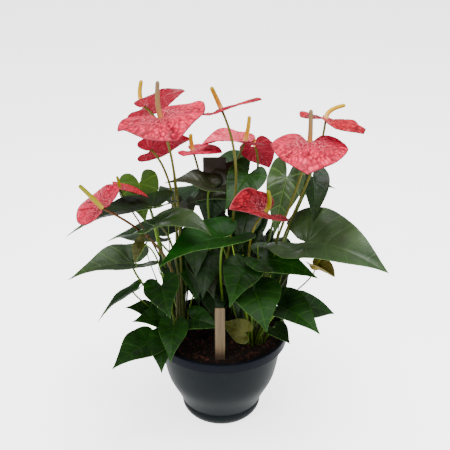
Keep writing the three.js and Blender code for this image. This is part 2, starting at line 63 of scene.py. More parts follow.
def smooth(value, low, high):
    share = min(1.0, max(0.0, (value - low) / (high - low)))
    return share * share * (3 - 2 * share)


def mix(low, high, share):
    return low + (high - low) * share


def hexColour(code):
    # sRGB hex to the linear values that the shaders work with
    parts = [int(code[i:i + 2], 16) / 255 for i in (1, 3, 5)]
    linear = [p / 12.92 if p <= 0.04045 else ((p + 0.055) / 1.055) ** 2.4 for p in parts]
    return (*linear, 1.0)


def mixHex(first, second, share):
    parts = [round(mix(int(first[i:i + 2], 16), int(second[i:i + 2], 16), share)) for i in (1, 3, 5)]
    return "#%02X%02X%02X" % tuple(parts)


def addNode(material, kind, inputs=None, stops=None, **settings):
    # adds a node, sets it and links it: a colour is a hex string, and a node that is given as
    # an input stands for the first of its outputs that is in use
    tree = material.node_tree
    node = tree.nodes.new("ShaderNode" + kind)
    for name, value in settings.items():
        setattr(node, name, value)
    for key, value in (inputs or {}).items():
        if isinstance(value, bpy.types.Node):
            value = next(output for output in value.outputs if output.enabled)
        if isinstance(value, bpy.types.NodeSocket):
            tree.links.new(value, node.inputs[key])
        else:
            node.inputs[key].default_value = hexColour(value) if isinstance(value, str) else value
    if stops:
        marks = node.color_ramp.elements
        while len(marks) < len(stops):
            marks.new(0.5)
        for mark, (spot, code) in zip(marks, stops):
            mark.position = spot
            mark.color = hexColour(code)
    return node


def newMaterial(name):
    material = bpy.data.materials.new(name)
    material.use_nodes = True
    material.node_tree.nodes.clear()
    return material


def finishMaterial(material, inputs):
    shader = addNode(material, "BsdfPrincipled", inputs)
    addNode(material, "OutputMaterial", {"Surface": shader})
    return material


def addPiece(name, bm, materials, slot=None, replaced=()):
    # writes a millimetre mesh as a piece in metres that rides on the plant's one body; a piece
    # without a slot belongs to the studio
    bmesh.ops.scale(bm, vec=(mm, mm, mm), verts=bm.verts)
    mesh = bpy.data.meshes.new(name)
    bm.to_mesh(mesh)
    bm.free()
    mesh.shade_smooth()
    piece = bpy.data.objects.new(name, mesh)
    bpy.context.scene.collection.objects.link(piece)
    for material in materials:
        mesh.materials.append(material)
    if slot is None:
        return piece
    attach(piece, "root")
    if replaced:
        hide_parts(*replaced)
    return piece


def newGrid(columns, rows):
    # a flat grid whose places are kept as 0 to 1 shares before it is shaped
    bm = bmesh.new()
    bmesh.ops.create_grid(bm, x_segments=columns, y_segments=rows, size=1)
    for vert in bm.verts:
        vert.co.x = (vert.co.x + 1) / 2
        vert.co.y = (vert.co.y + 1) / 2
    return bm


def closeSeams(bm, reach=0.01):
    bmesh.ops.remove_doubles(bm, verts=bm.verts, dist=reach)
    bmesh.ops.recalc_face_normals(bm, faces=bm.faces)


def rodFrames(points):
    frames = []
    across = Vector((1, 0, 0))
    for i, point in enumerate(points):
        along = (points[min(i + 1, len(points) - 1)] - points[max(i - 1, 0)]).normalized()
        across = (across - along * across.dot(along)).normalized()
        frames.append((point, across, along.cross(across)))
    return frames


def rodMesh(points, sides, radiusAt, reliefAt=None):
    # a round rod along a line: radiusAt gives the radius at a share of the length and a turn,
    # and is zero at both ends; reliefAt gives what the material reads as relief
    rows = len(points) - 1
    frames = rodFrames(points)
    bm = newGrid(sides, rows)
    uv = bm.loops.layers.uv.new("round")
    tone = bm.verts.layers.float.new("relief") if reliefAt else None
    for face in bm.faces:
        for loop in face.loops:
            loop[uv].uv = loop.vert.co.xy
    for vert in bm.verts:
        share, turn = vert.co.y, 2 * pi * vert.co.x
        middle, across, other = frames[round(share * rows)]
        if reliefAt:
            vert[tone] = reliefAt(share, turn)
        vert.co = middle + (across * cos(turn) + other * sin(turn)) * radiusAt(share, turn)
    closeSeams(bm)
    return bm


soilTop = 171
straight = (0, 0, 0)
stalk = {
    "depth": 22, "collar": 2,  # how far it goes into the soil, and where above it the bend starts
    "petiole": (2.5, 1.9), "peduncle": (2.7, 2.1),  # radii at the foot and at the top
    "small": 0.75,  # the stalk of a small leaf is thinner
    "leafPull": 0.15, "flowerPull": 0.28, "rise": 0.34, "lean": 0.12,  # the bend, as shares of the height
    "knee": 0.32, "kneeSpan": (0.9, 0.96, 0.985, 1.0),  # a leaf stalk thickens below its blade
    "swell": 0.25, "swellSpan": (0.08, 0.22), "ripple": 0.03,  # every stalk thickens at its foot
    "steps": 30, "sides": 12,
}


def stalkLine(base, end, arrive, bow, pull):
    collar = Vector((*base, soilTop + stalk["collar"]))
    height = (end - collar).length
    rise = (collar + Vector((bow[0], bow[1], stalk["rise"] * height + bow[2]))).lerp(end, stalk["lean"])
    turn = end - arrive * (pull * height) + Vector(bow)
    foot = Vector((*base, soilTop - stalk["depth"]))
    bend = interpolate_bezier(collar, rise, turn, end, stalk["steps"])
    below = [foot, foot, foot.lerp(collar, 0.3), foot.lerp(collar, 0.7)]
    return below + bend + [bend[-1]]


def stalkMesh(line, radii, knee):
    rows = len(line) - 1
    start, full, fall, end = stalk["kneeSpan"]

    def radiusAt(share, turn):
        if share < 0.5 / rows or share > 1 - 0.5 / rows:
            return 0
        swell = knee * smooth(share, start, full) * (1 - smooth(share, fall, end))
        foot = stalk["swell"] * (1 - smooth(share, *stalk["swellSpan"]))
        return mix(*radii, share) * (1 + swell + foot) * (1 + stalk["ripple"] * cos(3 * turn))

    return rodMesh(line, stalk["sides"], radiusAt)


def fuseMeshes(parts):
    # puts several meshes into the first one
    whole = parts[0]
    for part in parts[1:]:
        mesh = bpy.data.meshes.new("part")
        part.to_mesh(mesh)
        part.free()
        whole.from_mesh(mesh)
        bpy.data.meshes.remove(mesh)
    return whole


# leaves and spathes are heart-shaped blades: a grid of spokes and rings round the stalk's end
bladeRule = {
    "flat": 7, "full": 0.3,  # mm round the stalk that stay flat, and the share where folds are full
    "waves": 5, "curlPower": 4, "lobeLift": 0.35,
    "reach": 0.985, "even": 0.72, "ringPower": 0.9,  # how far the grid goes round, how evenly it is spread
}
# side = width as a share of the length, taper and point = its tip, notch = the angle of the lobes
leafShape = {"side": 0.42, "taper": 0.33, "point": 0.8, "notch": 2.88, "notchPower": 8}
spatheShape = {"side": 0.53, "taper": 0.6, "point": 1, "notch": 2.7, "notchPower": 6}
# how far apart the side veins are, along the midrib and in the fan, and how they arch and slope
veinRule = {"spacing": 0.12, "fan": 0.42, "arch": 0.6, "slope": 0.45, "turn": 1.148}


def bladeFrame(blade):
    start = Vector(blade["at"])
    chord = Vector(blade["tip"]) - start
    reach = chord.normalized()
    side = Vector(blade["face"]).cross(reach).normalized()
    up = reach.cross(side)
    half = blade["bend"] / 2
    return {
        "start": start, "side": side, "bend": blade["bend"],
        "tip": reach * cos(half) + up * sin(half),
        "face": up * cos(half) - reach * sin(half),
        "length": chord.length * half / sin(half),
    }


def edgeShare(shape, angle):
    turn = abs(angle)
    point = (1 - shape["side"]) * exp(-((turn / shape["taper"]) ** shape["point"]))
    notch = sqrt(max(0, 1 - (turn / shape["notch"]) ** shape["notchPower"]))
    return (shape["side"] + point) * notch


def bladePoint(axes, blade, angle, distance, relief):
    length = axes["length"]
    along = distance * cos(angle)
    aside = distance * sin(angle) * blade.get("wide", 1)
    rise = smooth(distance, bladeRule["flat"], bladeRule["full"] * length)
    fold = abs(aside) * tan(blade.get("fold", 0))
    ripple = sin(bladeRule["waves"] * angle + blade.get("phase", 0))
    wave = blade.get("wave", 0) * ripple * distance / length
    curl = blade.get("curl", 0) * max(0, along / length) ** bladeRule["curlPower"]
    lobe = bladeRule["lobeLift"] * max(0, -along)
    lift = rise * (fold + wave + lobe) - curl + relief
    rate = axes["bend"] / length
    turn = along * rate
    return (axes["start"] + axes["tip"] * (sin(turn) / rate + lift * sin(turn))
            + axes["face"] * ((cos(turn) - 1) / rate + lift * cos(turn)) + axes["side"] * aside)


def veinPhase(angle, share):
    # whole numbers are side veins: from the midrib above the stalk, fanned out round it below
    x = abs(share * sin(angle))
    y = share * cos(angle) - veinRule["arch"] * x * x
    start = y - veinRule["slope"] * x
    if start >= 0:
        return start / veinRule["spacing"]
    return -(atan2(x, y) - veinRule["turn"]) / veinRule["fan"]


def bladeMesh(blade, shape, spokes, rings, reliefAt):
    axes = bladeFrame(blade)
    bm = newGrid(spokes, rings)
    flat = bm.loops.layers.uv.new("blade")
    veins = bm.loops.layers.uv.new("veins")
    tone = bm.verts.layers.float.new("relief")
    limit = bladeRule["reach"] * shape["notch"]
    spots = {}
    for vert in bm.verts:
        even = 2 * vert.co.x - 1
        angle = limit * even * (bladeRule["even"] + (1 - bladeRule["even"]) * even * even)
        share = vert.co.y ** bladeRule["ringPower"] * edgeShare(shape, angle)
        phase = veinPhase(angle, share)
        relief, shade = reliefAt(angle, share, phase, vert.co.y)
        spots[vert] = (share * sin(angle), share * cos(angle), phase, vert.co.y)
        vert[tone] = shade
        vert.co = bladePoint(axes, blade, angle, share * axes["length"], relief)
    for face in bm.faces:
        for loop in face.loops:
            x, y, phase, out = spots[loop.vert]
            loop[flat].uv = (x, y)
            loop[veins].uv = (phase, out)
    bmesh.ops.remove_doubles(bm, verts=bm.verts, dist=0.01)
    bm.normal_update()
    middle = sum((face.normal * face.calc_area() for face in bm.faces), Vector())
    if middle.dot(axes["face"]) < 0:
        bmesh.ops.reverse_faces(bm, faces=bm.faces)
    return bm, axes


def addThickness(piece, thickness):
    # the upper face keeps the first material, the underside takes the second, the rim the third
    shell = piece.modifiers.new("thickness", "SOLIDIFY")
    shell.thickness = thickness * mm
    shell.offset = 0
    shell.use_even_offset = False
    shell.material_offset = 1
    shell.material_offset_rim = 2


def sideVeins(material, width, show):
    # the side veins as lines, and how far out towards the rim a spot lies
    veins = addNode(material, "UVMap", uv_map="veins")
    parts = addNode(material, "SeparateXYZ", {"Vector": veins})
    count = addNode(material, "Math", {0: parts, 1: 1.0}, operation="PINGPONG")
    line = addNode(material, "MapRange", {"Value": count, "From Max": width, "To Min": show, "To Max": 0.0})
    return line, parts.outputs["Y"]


# in the Mix nodes below, 6 and 7 are the two colours that are mixed

def leafMaterial(name, dark, light, vein, rough, veinShow=0.5, sheen=0.12):
    # waxy leaf: a glossy cuticle over green flesh, so bright soft highlights on a deep colour
    material = newMaterial(name)
    place = addNode(material, "TexCoord").outputs["Object"]
    patches = addNode(material, "TexNoise", {"Vector": place, "Scale": 22, "Detail": 3})  # 45 mm wide
    flesh = addNode(material, "ValToRGB", {"Fac": patches}, stops=[(0.32, dark), (0.68, light)])
    line, outward = sideVeins(material, 0.16, 1.0)
    blade = addNode(material, "UVMap", uv_map="blade")
    sides = addNode(material, "SeparateXYZ", {"Vector": blade})
    aside = addNode(material, "Math", {0: sides}, operation="ABSOLUTE")
    midrib = addNode(material, "MapRange", {"Value": aside, "From Min": 0.003, "From Max": 0.016,
                                            "To Min": 1.0, "To Max": 0.0})
    fine = addNode(material, "TexVoronoi", {"Vector": place, "Scale": 300},
                   feature="DISTANCE_TO_EDGE")  # net of small veins, drawn at 3.3 mm so that it shows
    thin = addNode(material, "MapRange", {"Value": fine, "From Max": 0.12, "To Min": 0.25, "To Max": 0.0})
    both = addNode(material, "Math", {0: line, 1: midrib}, operation="MAXIMUM")
    every = addNode(material, "Math", {0: both, 1: thin}, operation="MAXIMUM")
    shown = addNode(material, "Math", {0: every, 1: veinShow}, operation="MULTIPLY")
    veined = addNode(material, "Mix", {"Factor": shown, 6: flesh, 7: vein}, data_type="RGBA")
    rim = addNode(material, "MapRange", {"Value": outward, "From Min": 0.97, "To Max": 0.45})
    edged = addNode(material, "Mix", {"Factor": rim, 6: veined, 7: vein}, data_type="RGBA")
    gloss = addNode(material, "MapRange", {"Value": patches, "To Min": rough, "To Max": rough + 0.18})
    bump = addNode(material, "Bump", {"Height": every, "Strength": 0.35, "Distance": 0.0006}, invert=True)
    return finishMaterial(material, {"Base Color": edged, "Roughness": gloss, "Normal": bump,
                                     "IOR": 1.45, "Specular IOR Level": sheen})


def underMaterial(name, colour, vein, rough):
    # the underside of a blade: matt, paler, with its veins standing out
    material = newMaterial(name)
    place = addNode(material, "TexCoord").outputs["Object"]
    line = sideVeins(material, 0.14, 0.8)[0]
    patches = addNode(material, "TexNoise", {"Vector": place, "Scale": 35, "Detail": 2})  # 29 mm wide
    soft = addNode(material, "Math", {0: patches, 1: 0.25}, operation="MULTIPLY")
    share = addNode(material, "Math", {0: line, 1: soft}, operation="ADD")
    tone = addNode(material, "Mix", {"Factor": share, 6: colour, 7: vein}, data_type="RGBA")
    bump = addNode(material, "Bump", {"Height": line, "Strength": 0.5, "Distance": 0.0008})
    return finishMaterial(material, {"Base Color": tone, "Roughness": rough, "Normal": bump,
                                     "IOR": 1.45, "Specular IOR Level": 0.12})


def spatheMaterial(name, valley, hill, rough, rimTone="#4A1420"):
    # waxy spathe: lacquered coral bract, with painted highlight on its bulges and painted shade in the
    # sunken net of veins
    material = newMaterial(name)
    place = addNode(material, "TexCoord").outputs["Object"]
    relief = addNode(material, "Attribute", attribute_name="relief")
    patches = addNode(material, "TexNoise", {"Vector": place, "Scale": 30, "Detail": 3})  # 33 mm wide
    soft = addNode(material, "MapRange", {"Value": patches, "From Min": 0.3, "From Max": 0.7,
                                          "To Min": -0.18, "To Max": 0.18})
    level = addNode(material, "Math", {0: relief.outputs["Fac"], 1: soft}, operation="ADD")
    # painted shade and highlight: the relief level darkens the sunken lines and lightens the bulges, and the
    # last stop is tinted white as a painted highlight
    flesh = addNode(material, "ValToRGB", {"Fac": level},
                    stops=[(0.1, valley), (0.42, mixHex(valley, hill, 0.5)), (0.75, hill),
                           (1.0, mixHex(hill, "#FFFFFF", 0.1))])
    blade = addNode(material, "UVMap", uv_map="blade")
    flat = addNode(material, "SeparateXYZ", {"Vector": blade})
    around = addNode(material, "Math", {0: flat, 1: flat.outputs["Y"]}, operation="ARCTAN2")
    far = addNode(material, "VectorMath", {0: blade}, operation="LENGTH")
    outward = addNode(material, "Math", {0: far, 1: 0.5}, operation="POWER")
    fan = addNode(material, "CombineXYZ", {"X": around, "Y": outward})
    spread = addNode(material, "Mapping", {"Vector": fan, "Scale": (5.5, 8, 1)})  # cells of 9 by 20 mm
    net = addNode(material, "TexVoronoi", {"Vector": spread, "Scale": 1},
                  feature="DISTANCE_TO_EDGE", voronoi_dimensions="2D")  # small veins fan out too
    thread = addNode(material, "MapRange", {"Value": net, "From Min": 0.02, "From Max": 0.13,
                                            "To Min": 1.0, "To Max": 0.0})
    middle = addNode(material, "MapRange", {"Value": far, "From Min": 0.14, "From Max": 0.5,
                                            "To Min": 1.0, "To Max": 0.0})
    # painted shade: round the spadix the colour is darkened towards the valley colour
    sunken = addNode(material, "Math", {0: middle, 1: 0.75}, operation="MULTIPLY")
    core = addNode(material, "Mix", {"Factor": sunken, 6: flesh, 7: valley}, data_type="RGBA")
    lineShading = addNode(material, "Mix", {"Factor": middle, 6: valley, 7: "#DC6C78"},
                    data_type="RGBA")  # the lines are a painted highlight round the spadix and painted shade further out
    show = addNode(material, "Math", {0: middle, 1: 0.25, 2: 0.5}, operation="MULTIPLY_ADD")
    drawn = addNode(material, "Math", {0: thread, 1: show}, operation="MULTIPLY")
    netted = addNode(material, "Mix", {"Factor": drawn, 6: core, 7: lineShading}, data_type="RGBA")
    veins = addNode(material, "UVMap", uv_map="veins")
    parts = addNode(material, "SeparateXYZ", {"Vector": veins})
    rim = addNode(material, "MapRange", {"Value": parts.outputs["Y"], "From Min": 0.965, "To Max": 0.85})
    edged = addNode(material, "Mix", {"Factor": rim, 6: netted, 7: rimTone}, data_type="RGBA")
    bump = addNode(material, "Bump", {"Height": thread, "Strength": 0.3, "Distance": 0.0006}, invert=True)
    return finishMaterial(material, {"Base Color": edged, "Roughness": rough, "Normal": bump,
                                     "IOR": 1.5, "Specular IOR Level": 0.1})


def stalkMaterial(name, foot, top):
    # leaf or flower stalk: smooth skin with lengthwise streaks, of another shade near the soil
    material = newMaterial(name)
    around = addNode(material, "UVMap", uv_map="round")
    parts = addNode(material, "SeparateXYZ", {"Vector": around})
    stretched = addNode(material, "Mapping", {"Vector": around, "Scale": (9, 3, 1)})
    streaks = addNode(material, "TexNoise", {"Vector": stretched, "Scale": 2, "Detail": 3})  # 1 by 50 mm
    soft = addNode(material, "Math", {0: streaks, 1: -0.5}, operation="ADD")
    level = addNode(material, "Math", {0: parts.outputs["Y"], 1: soft}, operation="ADD")
    skin = addNode(material, "ValToRGB", {"Fac": level}, stops=[(0.15, foot), (0.85, top)])
    bump = addNode(material, "Bump", {"Height": streaks, "Strength": 0.2, "Distance": 0.0004})
    return finishMaterial(material, {"Base Color": skin, "Roughness": 0.45, "Normal": bump,
                                     "IOR": 1.45, "Specular IOR Level": 0.12})


def spadixMaterial(name, stops):
    # spadix: hundreds of tiny matt florets, brighter at the base and duller towards the tip
    material = newMaterial(name)
    around = addNode(material, "UVMap", uv_map="round")
    parts = addNode(material, "SeparateXYZ", {"Vector": around})
    relief = addNode(material, "Attribute", attribute_name="relief")
    flesh = addNode(material, "ValToRGB", {"Fac": parts.outputs["Y"]}, stops=stops)
    pits = addNode(material, "MapRange", {"Value": relief.outputs["Fac"], "From Max": 0.5,
                                          "To Min": 0.45, "To Max": 0.0})
    tone = addNode(material, "Mix", {"Factor": pits, 6: flesh, 7: "#8A5E22"}, data_type="RGBA")
    return finishMaterial(material, {"Base Color": tone, "Roughness": 0.55, "IOR": 1.45,
                                     "Specular IOR Level": 0.12})


leafFinishes = {
    "dark": leafMaterial("leaf_cuticle_dark", "#041201", "#0A2203", "#1E3C08", 0.36, 0.45, 0.2),
    "mid": leafMaterial("leaf_cuticle_green", "#051C01", "#0D3103", "#2A5208", 0.38, 0.4, 0.16),
    "bright": leafMaterial("leaf_cuticle_bright", "#042200", "#0A3800", "#185004", 0.42, 0.3),
    "grey": leafMaterial("leaf_cuticle_grey", "#15280C", "#263F16", "#3E5C28", 0.32, 0.22, 0.35),
    "young": leafMaterial("leaf_young", "#1C3006", "#2E480C", "#566E20", 0.42),
    "olive": leafMaterial("leaf_olive", "#24260A", "#3C3E12", "#5A5A24", 0.38),
    "brown": leafMaterial("leaf_shaded", "#12160A", "#1F2612", "#384426", 0.32, 0.3, 0.3),
    "upright": leafMaterial("leaf_cuticle_light", "#14260A", "#264012", "#4C6A2A", 0.36, 0.6, 0.3),
    "sheath": leafMaterial("sheath_papery", "#2A140C", "#4E2A1C", "#6E4430", 0.6, 0.3),
}
leafUnder = underMaterial("leaf_underside", "#25401A", "#46632E", 0.6)
leafRim = underMaterial("leaf_margin", "#35521F", "#57743A", 0.5)
spatheFinishes = {
    "coral": spatheMaterial("spathe_wax_coral", "#5C0414", "#CE2244", 0.36),
    "red": spatheMaterial("spathe_wax_red", "#4E040C", "#AE1426", 0.38),
    "pink": spatheMaterial("spathe_wax_pink", "#8A1226", "#D84A60", 0.38),
    "wine": spatheMaterial("spathe_wax_wine", "#2E0308", "#941020", 0.38, "#B05860"),
}
spatheFinishes["bract"] = leafMaterial("bract_olive", "#4A3E12", "#66581E", "#80743A", 0.42)
spatheUnder = underMaterial("spathe_underside", "#8C1226", "#B43A4C", 0.5)
spatheRim = underMaterial("spathe_margin", "#4A1420", "#6A2430", 0.45)
stalkFinishes = {
    "leaf": stalkMaterial("petiole_skin", "#263408", "#3E5612"),
    "light": stalkMaterial("petiole_light", "#4A6416", "#7C9632"),
    "dark": stalkMaterial("petiole_dark", "#1C1E06", "#2C3408"),
    "flower": stalkMaterial("peduncle_skin", "#2E3A0C", "#4C4814"),
    "brown": stalkMaterial("peduncle_brown", "#30380C", "#44280E"),
}
spadixFinishes = {
    "ripe": spadixMaterial("spadix_ripe", [(0.0, "#B8703C"), (0.3, "#8A6A42"), (1.0, "#655A44")]),
    "orange": spadixMaterial("spadix_orange", [(0.0, "#DCA068"), (0.35, "#C47A1C"), (1.0, "#94780E")]),
    "yellow": spadixMaterial("spadix_yellow", [(0.0, "#E0C078"), (0.4, "#CC9C1C"), (1.0, "#A48A14")]),
    "green": spadixMaterial("spadix_green", [(0.0, "#A49038"), (0.4, "#7E7814"), (1.0, "#626C10")]),
}
print("plant materials ready")


# base = where the stalk leaves the soil, at = where it meets the blade, tip = the blade's
# point, face = which way its upper side looks, bow = how the stalk bends. As in the solids.
crown = {"left": (-80, -5), "right": (60, -35), "back": (5, 48)}


def near(name, x, y):
    return (crown[name][0] + x, crown[name][1] + y)


leaves = [
    {"name": "leaf_left_far", "base": near("left", -17, -4), "bow": (6, 40, 0), "at": (-124, -35, 450),
     "tip": (-267, -70, 410), "face": (0.2, 0.2, 1), "bend": 0.6, "fold": 0.2, "wave": 4, "wide": 0.75,
     "finish": "dark"},
    {"name": "leaf_left_young", "base": near("left", -15, 4), "bow": (-4, 25, 0), "at": (-150, 62, 452),
     "tip": (-138, 24, 390), "face": (-0.3, -0.6, 0.6), "bend": 0.5, "fold": 0.1, "wave": 6, "wide": 1.25,
     "finish": "young"},
    {"name": "leaf_left_long", "base": near("left", -16, -12), "at": (-160, -22, 332),
     "tip": (-270, -70, 324), "face": (0.1, 0, 1), "bend": 0.6, "fold": 0.3, "wave": 4, "wide": 0.9,
     "finish": "upright"},
    {"name": "leaf_left_heart", "base": near("left", -4, -15), "at": (-106, -59, 306),
     "tip": (-87, -127, 278), "face": (-0.1, -0.75, 0.6), "bend": 0.7, "fold": 0.1, "wave": 3,
     "finish": "mid"},
    {"name": "leaf_left_centre", "base": near("left", 2, -17), "bow": (10, 18, 0), "at": (-108, -65, 433),
     "tip": (-10, -110, 440), "face": (0, -0.05, 1), "bend": 1.1, "fold": 0.1, "wave": 4, "curl": 12,
     "wide": 0.9, "finish": "grey"},
    {"name": "leaf_centre_front", "base": near("back", 2, -26), "bow": (-7, -20, 0), "at": (6, -72, 410),
     "tip": (-104, -142, 388), "face": (0.1, 0.1, 1), "bend": 0.7, "fold": 0.2, "wave": 3,
     "finish": "bright"},
    {"name": "leaf_top_centre", "base": near("back", 12, -6), "at": (50, 60, 472),
     "tip": (6, -18, 433), "face": (0.1, -0.6, 0.8), "bend": 0.6, "fold": 0.05, "wave": 5, "wide": 0.8,
     "finish": "mid"},
    {"name": "leaf_top_left", "base": near("back", -4, -4), "at": (-18, 44, 456),
     "tip": (-101, 10, 476), "face": (0.1, -0.15, 1), "bend": 0.5, "fold": 0.2, "wave": 6, "wide": 0.9,
     "finish": "brown"},
    {"name": "leaf_right_upright", "base": near("right", 6, 8), "bow": (-10, 12, 0), "at": (120, 54, 468),
     "tip": (96, 2, 374), "face": (-0.2, -0.9, 0.5), "bend": 0.6, "fold": 0.15, "wave": 4, "wide": 0.7,
     "finish": "upright"},
    {"name": "leaf_right_behind", "base": near("right", 13, 16), "at": (170, 81, 456),
     "tip": (167, 11, 399), "face": (0.3, -0.6, 0.6), "bend": 0.7, "fold": 0.25, "wave": 4, "wide": 0.75,
     "finish": "dark"},
    {"name": "leaf_right_big", "base": near("right", 12, 2), "bow": (0, 22, 0), "at": (153, -20, 374),
     "tip": (291, -98, 353), "face": (-0.05, -0.3, 1), "bend": 0.8, "fold": 0.3, "wave": 6,
     "finish": "grey"},
    {"name": "leaf_right_under", "base": near("right", -4, -2), "at": (77, -48, 355),
     "tip": (172, -80, 332), "face": (0, -0.3, 1), "bend": 0.5, "fold": 0.1, "wave": 2, "wide": 0.8,
     "finish": "mid"},
    {"name": "leaf_centre_low", "base": near("right", -14, 0), "at": (42, -62, 344),
     "tip": (15, -132, 304), "face": (-0.1, -0.7, 0.7), "bend": 0.9, "fold": 0.1, "wave": 3, "wide": 0.94,
     "finish": "mid"},
    {"name": "leaf_front_right", "base": near("right", -2, -14), "bow": (-4, 0, 0), "at": (59, -80, 308),
     "tip": (79, -155, 268), "face": (0.1, -0.6, 0.8), "bend": 0.9, "fold": 0.1, "wave": 4, "wide": 1.2,
     "finish": "mid"},
    {"name": "leaf_right_low", "base": near("right", 8, -12), "at": (104, -60, 264),
     "tip": (174, -130, 248), "face": (0.2, -0.4, 0.9), "bend": 0.8, "fold": 0.25, "wave": 3,
     "finish": "mid"},
]

shoots = [
    {"name": "shoot_front_left", "foot": near("left", -6, -26), "finish": "mid", "leaves": [
        {"at": (-133, -75, 194), "tip": (-194, -132, 176), "face": (-0.3, -0.4, 0.9), "bend": 0.5,
         "fold": 0.15, "wide": 1.1},
        {"at": (-85, -85, 235), "tip": (-88, -154, 205), "face": (0, -0.6, 0.8), "bend": 0.7, "fold": 0.1,
         "wide": 0.8},
        {"at": (-104, -72, 202), "tip": (-105, -140, 172), "face": (-0.2, -0.5, 0.8), "bend": 0.6,
         "fold": 0.1, "wide": 0.9},
    ]},
    {"name": "shoot_left", "foot": near("left", -26, 4), "finish": "mid", "leaves": [
        {"at": (-161, -33, 279), "tip": (-223, -70, 236), "face": (-0.5, 0.05, 0.72), "bend": 0.6,
         "fold": 0.2, "wide": 0.7},
        {"at": (-132, -30, 233), "tip": (-175, -50, 255), "face": (0.2, -0.4, 1), "bend": 0.4,
         "fold": 0.2},
        {"at": (-113, -50, 229), "tip": (-160, -80, 243), "face": (0.1, -0.4, 1), "bend": 0.4, "fold": 0.2},
        {"at": (-132, -88, 404), "tip": (-145, -100, 366), "face": (-0.6, -0.5, 0.4), "bend": 0.9,
         "fold": 0.5, "wide": 0.8, "bow": (2, 30, 0), "finish": "olive"},
    ]},
    {"name": "shoot_centre", "foot": near("right", -14, -10), "finish": "dark", "leaves": [
        {"at": (42, -71, 216), "tip": (0, -41, 219), "face": (0, -0.9, 0.4), "bend": 0.4, "fold": 0.1,
         "finish": "olive"},
        {"at": (-50, -60, 237), "tip": (0, -85, 232), "face": (0, -0.5, 0.8), "bend": 0.6, "fold": 0.2,
         "finish": "mid"},
        {"at": (28, -2, 280), "tip": (32, -42, 230), "face": (0, -0.7, 0.7), "bend": 0.6, "fold": 0.1,
         "wide": 0.72, "bow": (-20, -4, 0)},
    ]},
    {"name": "shoot_right", "foot": near("right", 22, -4), "finish": "mid", "leaves": [
        {"at": (147, -20, 238), "tip": (215, -2, 211), "face": (0, -0.4, 1), "bend": 0.6, "fold": 0.2},
        {"at": (101, -58, 214), "tip": (125, -95, 205), "face": (0.1, -0.5, 0.9), "bend": 0.5, "fold": 0.1,
         "finish": "dark"},
    ]},
    {"name": "shoot_back_left", "foot": near("back", -12, 10), "finish": "dark", "big": True, "leaves": [
        {"at": (-68, 120, 390), "tip": (-122, 215, 372), "face": (-0.1, 0.4, 1), "bend": 0.8, "fold": 0.2,
         "wave": 5},
        {"at": (-124, 114, 318), "tip": (-232, 150, 285), "face": (-0.3, 0.1, 1), "bend": 0.7, "fold": 0.2,
         "wave": 4},
        {"at": (-40, 120, 300), "tip": (-50, 210, 255), "face": (0, 0.6, 0.8), "bend": 0.8, "fold": 0.15,
         "wave": 4, "finish": "mid"},
        {"at": (-26, 0, 330), "tip": (-34, -48, 270), "face": (0, -0.8, 0.6), "bend": 0.7, "wide": 0.8,
         "small": True},
        {"at": (-44, 16, 322), "tip": (-42, -24, 258), "face": (0, -0.8, 0.5), "bend": 0.7, "wide": 0.7,
         "small": True},
    ]},
    {"name": "shoot_back_right", "foot": near("back", 14, 12), "finish": "dark", "big": True, "leaves": [
        {"at": (20, 138, 450), "tip": (42, 215, 456), "face": (0, 0.1, 1), "bend": 0.7, "fold": 0.25,
         "wave": 5, "finish": "mid"},
        {"at": (140, 122, 408), "tip": (225, 165, 396), "face": (0.1, 0.1, 1), "bend": 0.8, "fold": 0.25,
         "wave": 4},
        {"at": (75, 120, 300), "tip": (110, 215, 250), "face": (0.2, 0.6, 0.8), "bend": 0.8, "fold": 0.15,
         "wave": 4, "finish": "mid"},
        {"at": (48, 30, 404), "tip": (32, -28, 358), "face": (0, -0.7, 0.7), "bend": 0.7, "wide": 0.85,
         "small": True},
    ]},
]

shootStep = (2.4, 2)  # how far apart the stalks of a shoot stand
leafDetail = {
    "spokes": 72, "rings": 24, "thickness": 0.7, "fullSize": 110,  # shorter leaves have less relief
    "quilt": 0.9, "groove": 1.0, "grooveWidth": 0.02, "lump": 0.8, "lumps": 9,
}


def leafRelief(length, seed):
    size = min(1, length / leafDetail["fullSize"])
    count = leafDetail["lumps"]

    def reliefAt(angle, share, phase, out):
        gap = abs(phase - floor(phase + 0.5)) * 2  # 0 on a side vein, 1 half way to the next
        # no relief at the stalk and less at the rim
        fade = smooth(share * length, 4, 18) * (1 - 0.6 * smooth(out, 0.8, 1))
        aside, along = share * sin(angle), share * cos(angle)
        groove = exp(-((aside / leafDetail["grooveWidth"]) ** 2)) if cos(angle) > 0 else 0
        rough = noise.noise(Vector((aside * count, along * count, seed)))
        lift = leafDetail["quilt"] * size * (sqrt(gap) - 0.6) - leafDetail["groove"] * size * groove
        return fade * (lift + leafDetail["lump"] * size * rough), gap

    return reliefAt


def leafParts(leaf, seed):
    # the blade and the stalk of one leaf
    relief = leafRelief(bladeFrame(leaf)["length"], seed)
    blade, axes = bladeMesh(leaf, leafShape, leafDetail["spokes"], leafDetail["rings"], relief)
    line = stalkLine(leaf["base"], axes["start"], axes["face"], leaf.get("bow", straight), stalk["leafPull"])
    thin = stalk["small"] if leaf.get("small") else 1
    return blade, stalkMesh(line, [radius * thin for radius in stalk["petiole"]], stalk["knee"])


def addBlade(name, blade, finish, replaced=()):
    piece = addPiece(name, blade, [leafFinishes[finish], leafUnder, leafRim], "leaf", replaced)
    addThickness(piece, leafDetail["thickness"])


def addLeaf(name, leaf, replaced, petiole, seed):
    blade, stem = leafParts(leaf, seed)
    addBlade(name + "_blade", blade, leaf["finish"], replaced)
    addPiece(name + "_petiole", stem, [stalkFinishes[petiole]], "stalk", replaced)


for i, leaf in enumerate(leaves):
    petiole = {"young": "light", "grey": "dark"}.get(leaf["finish"], "leaf")
    addLeaf(leaf["name"], leaf, (leaf["name"],), petiole, i)

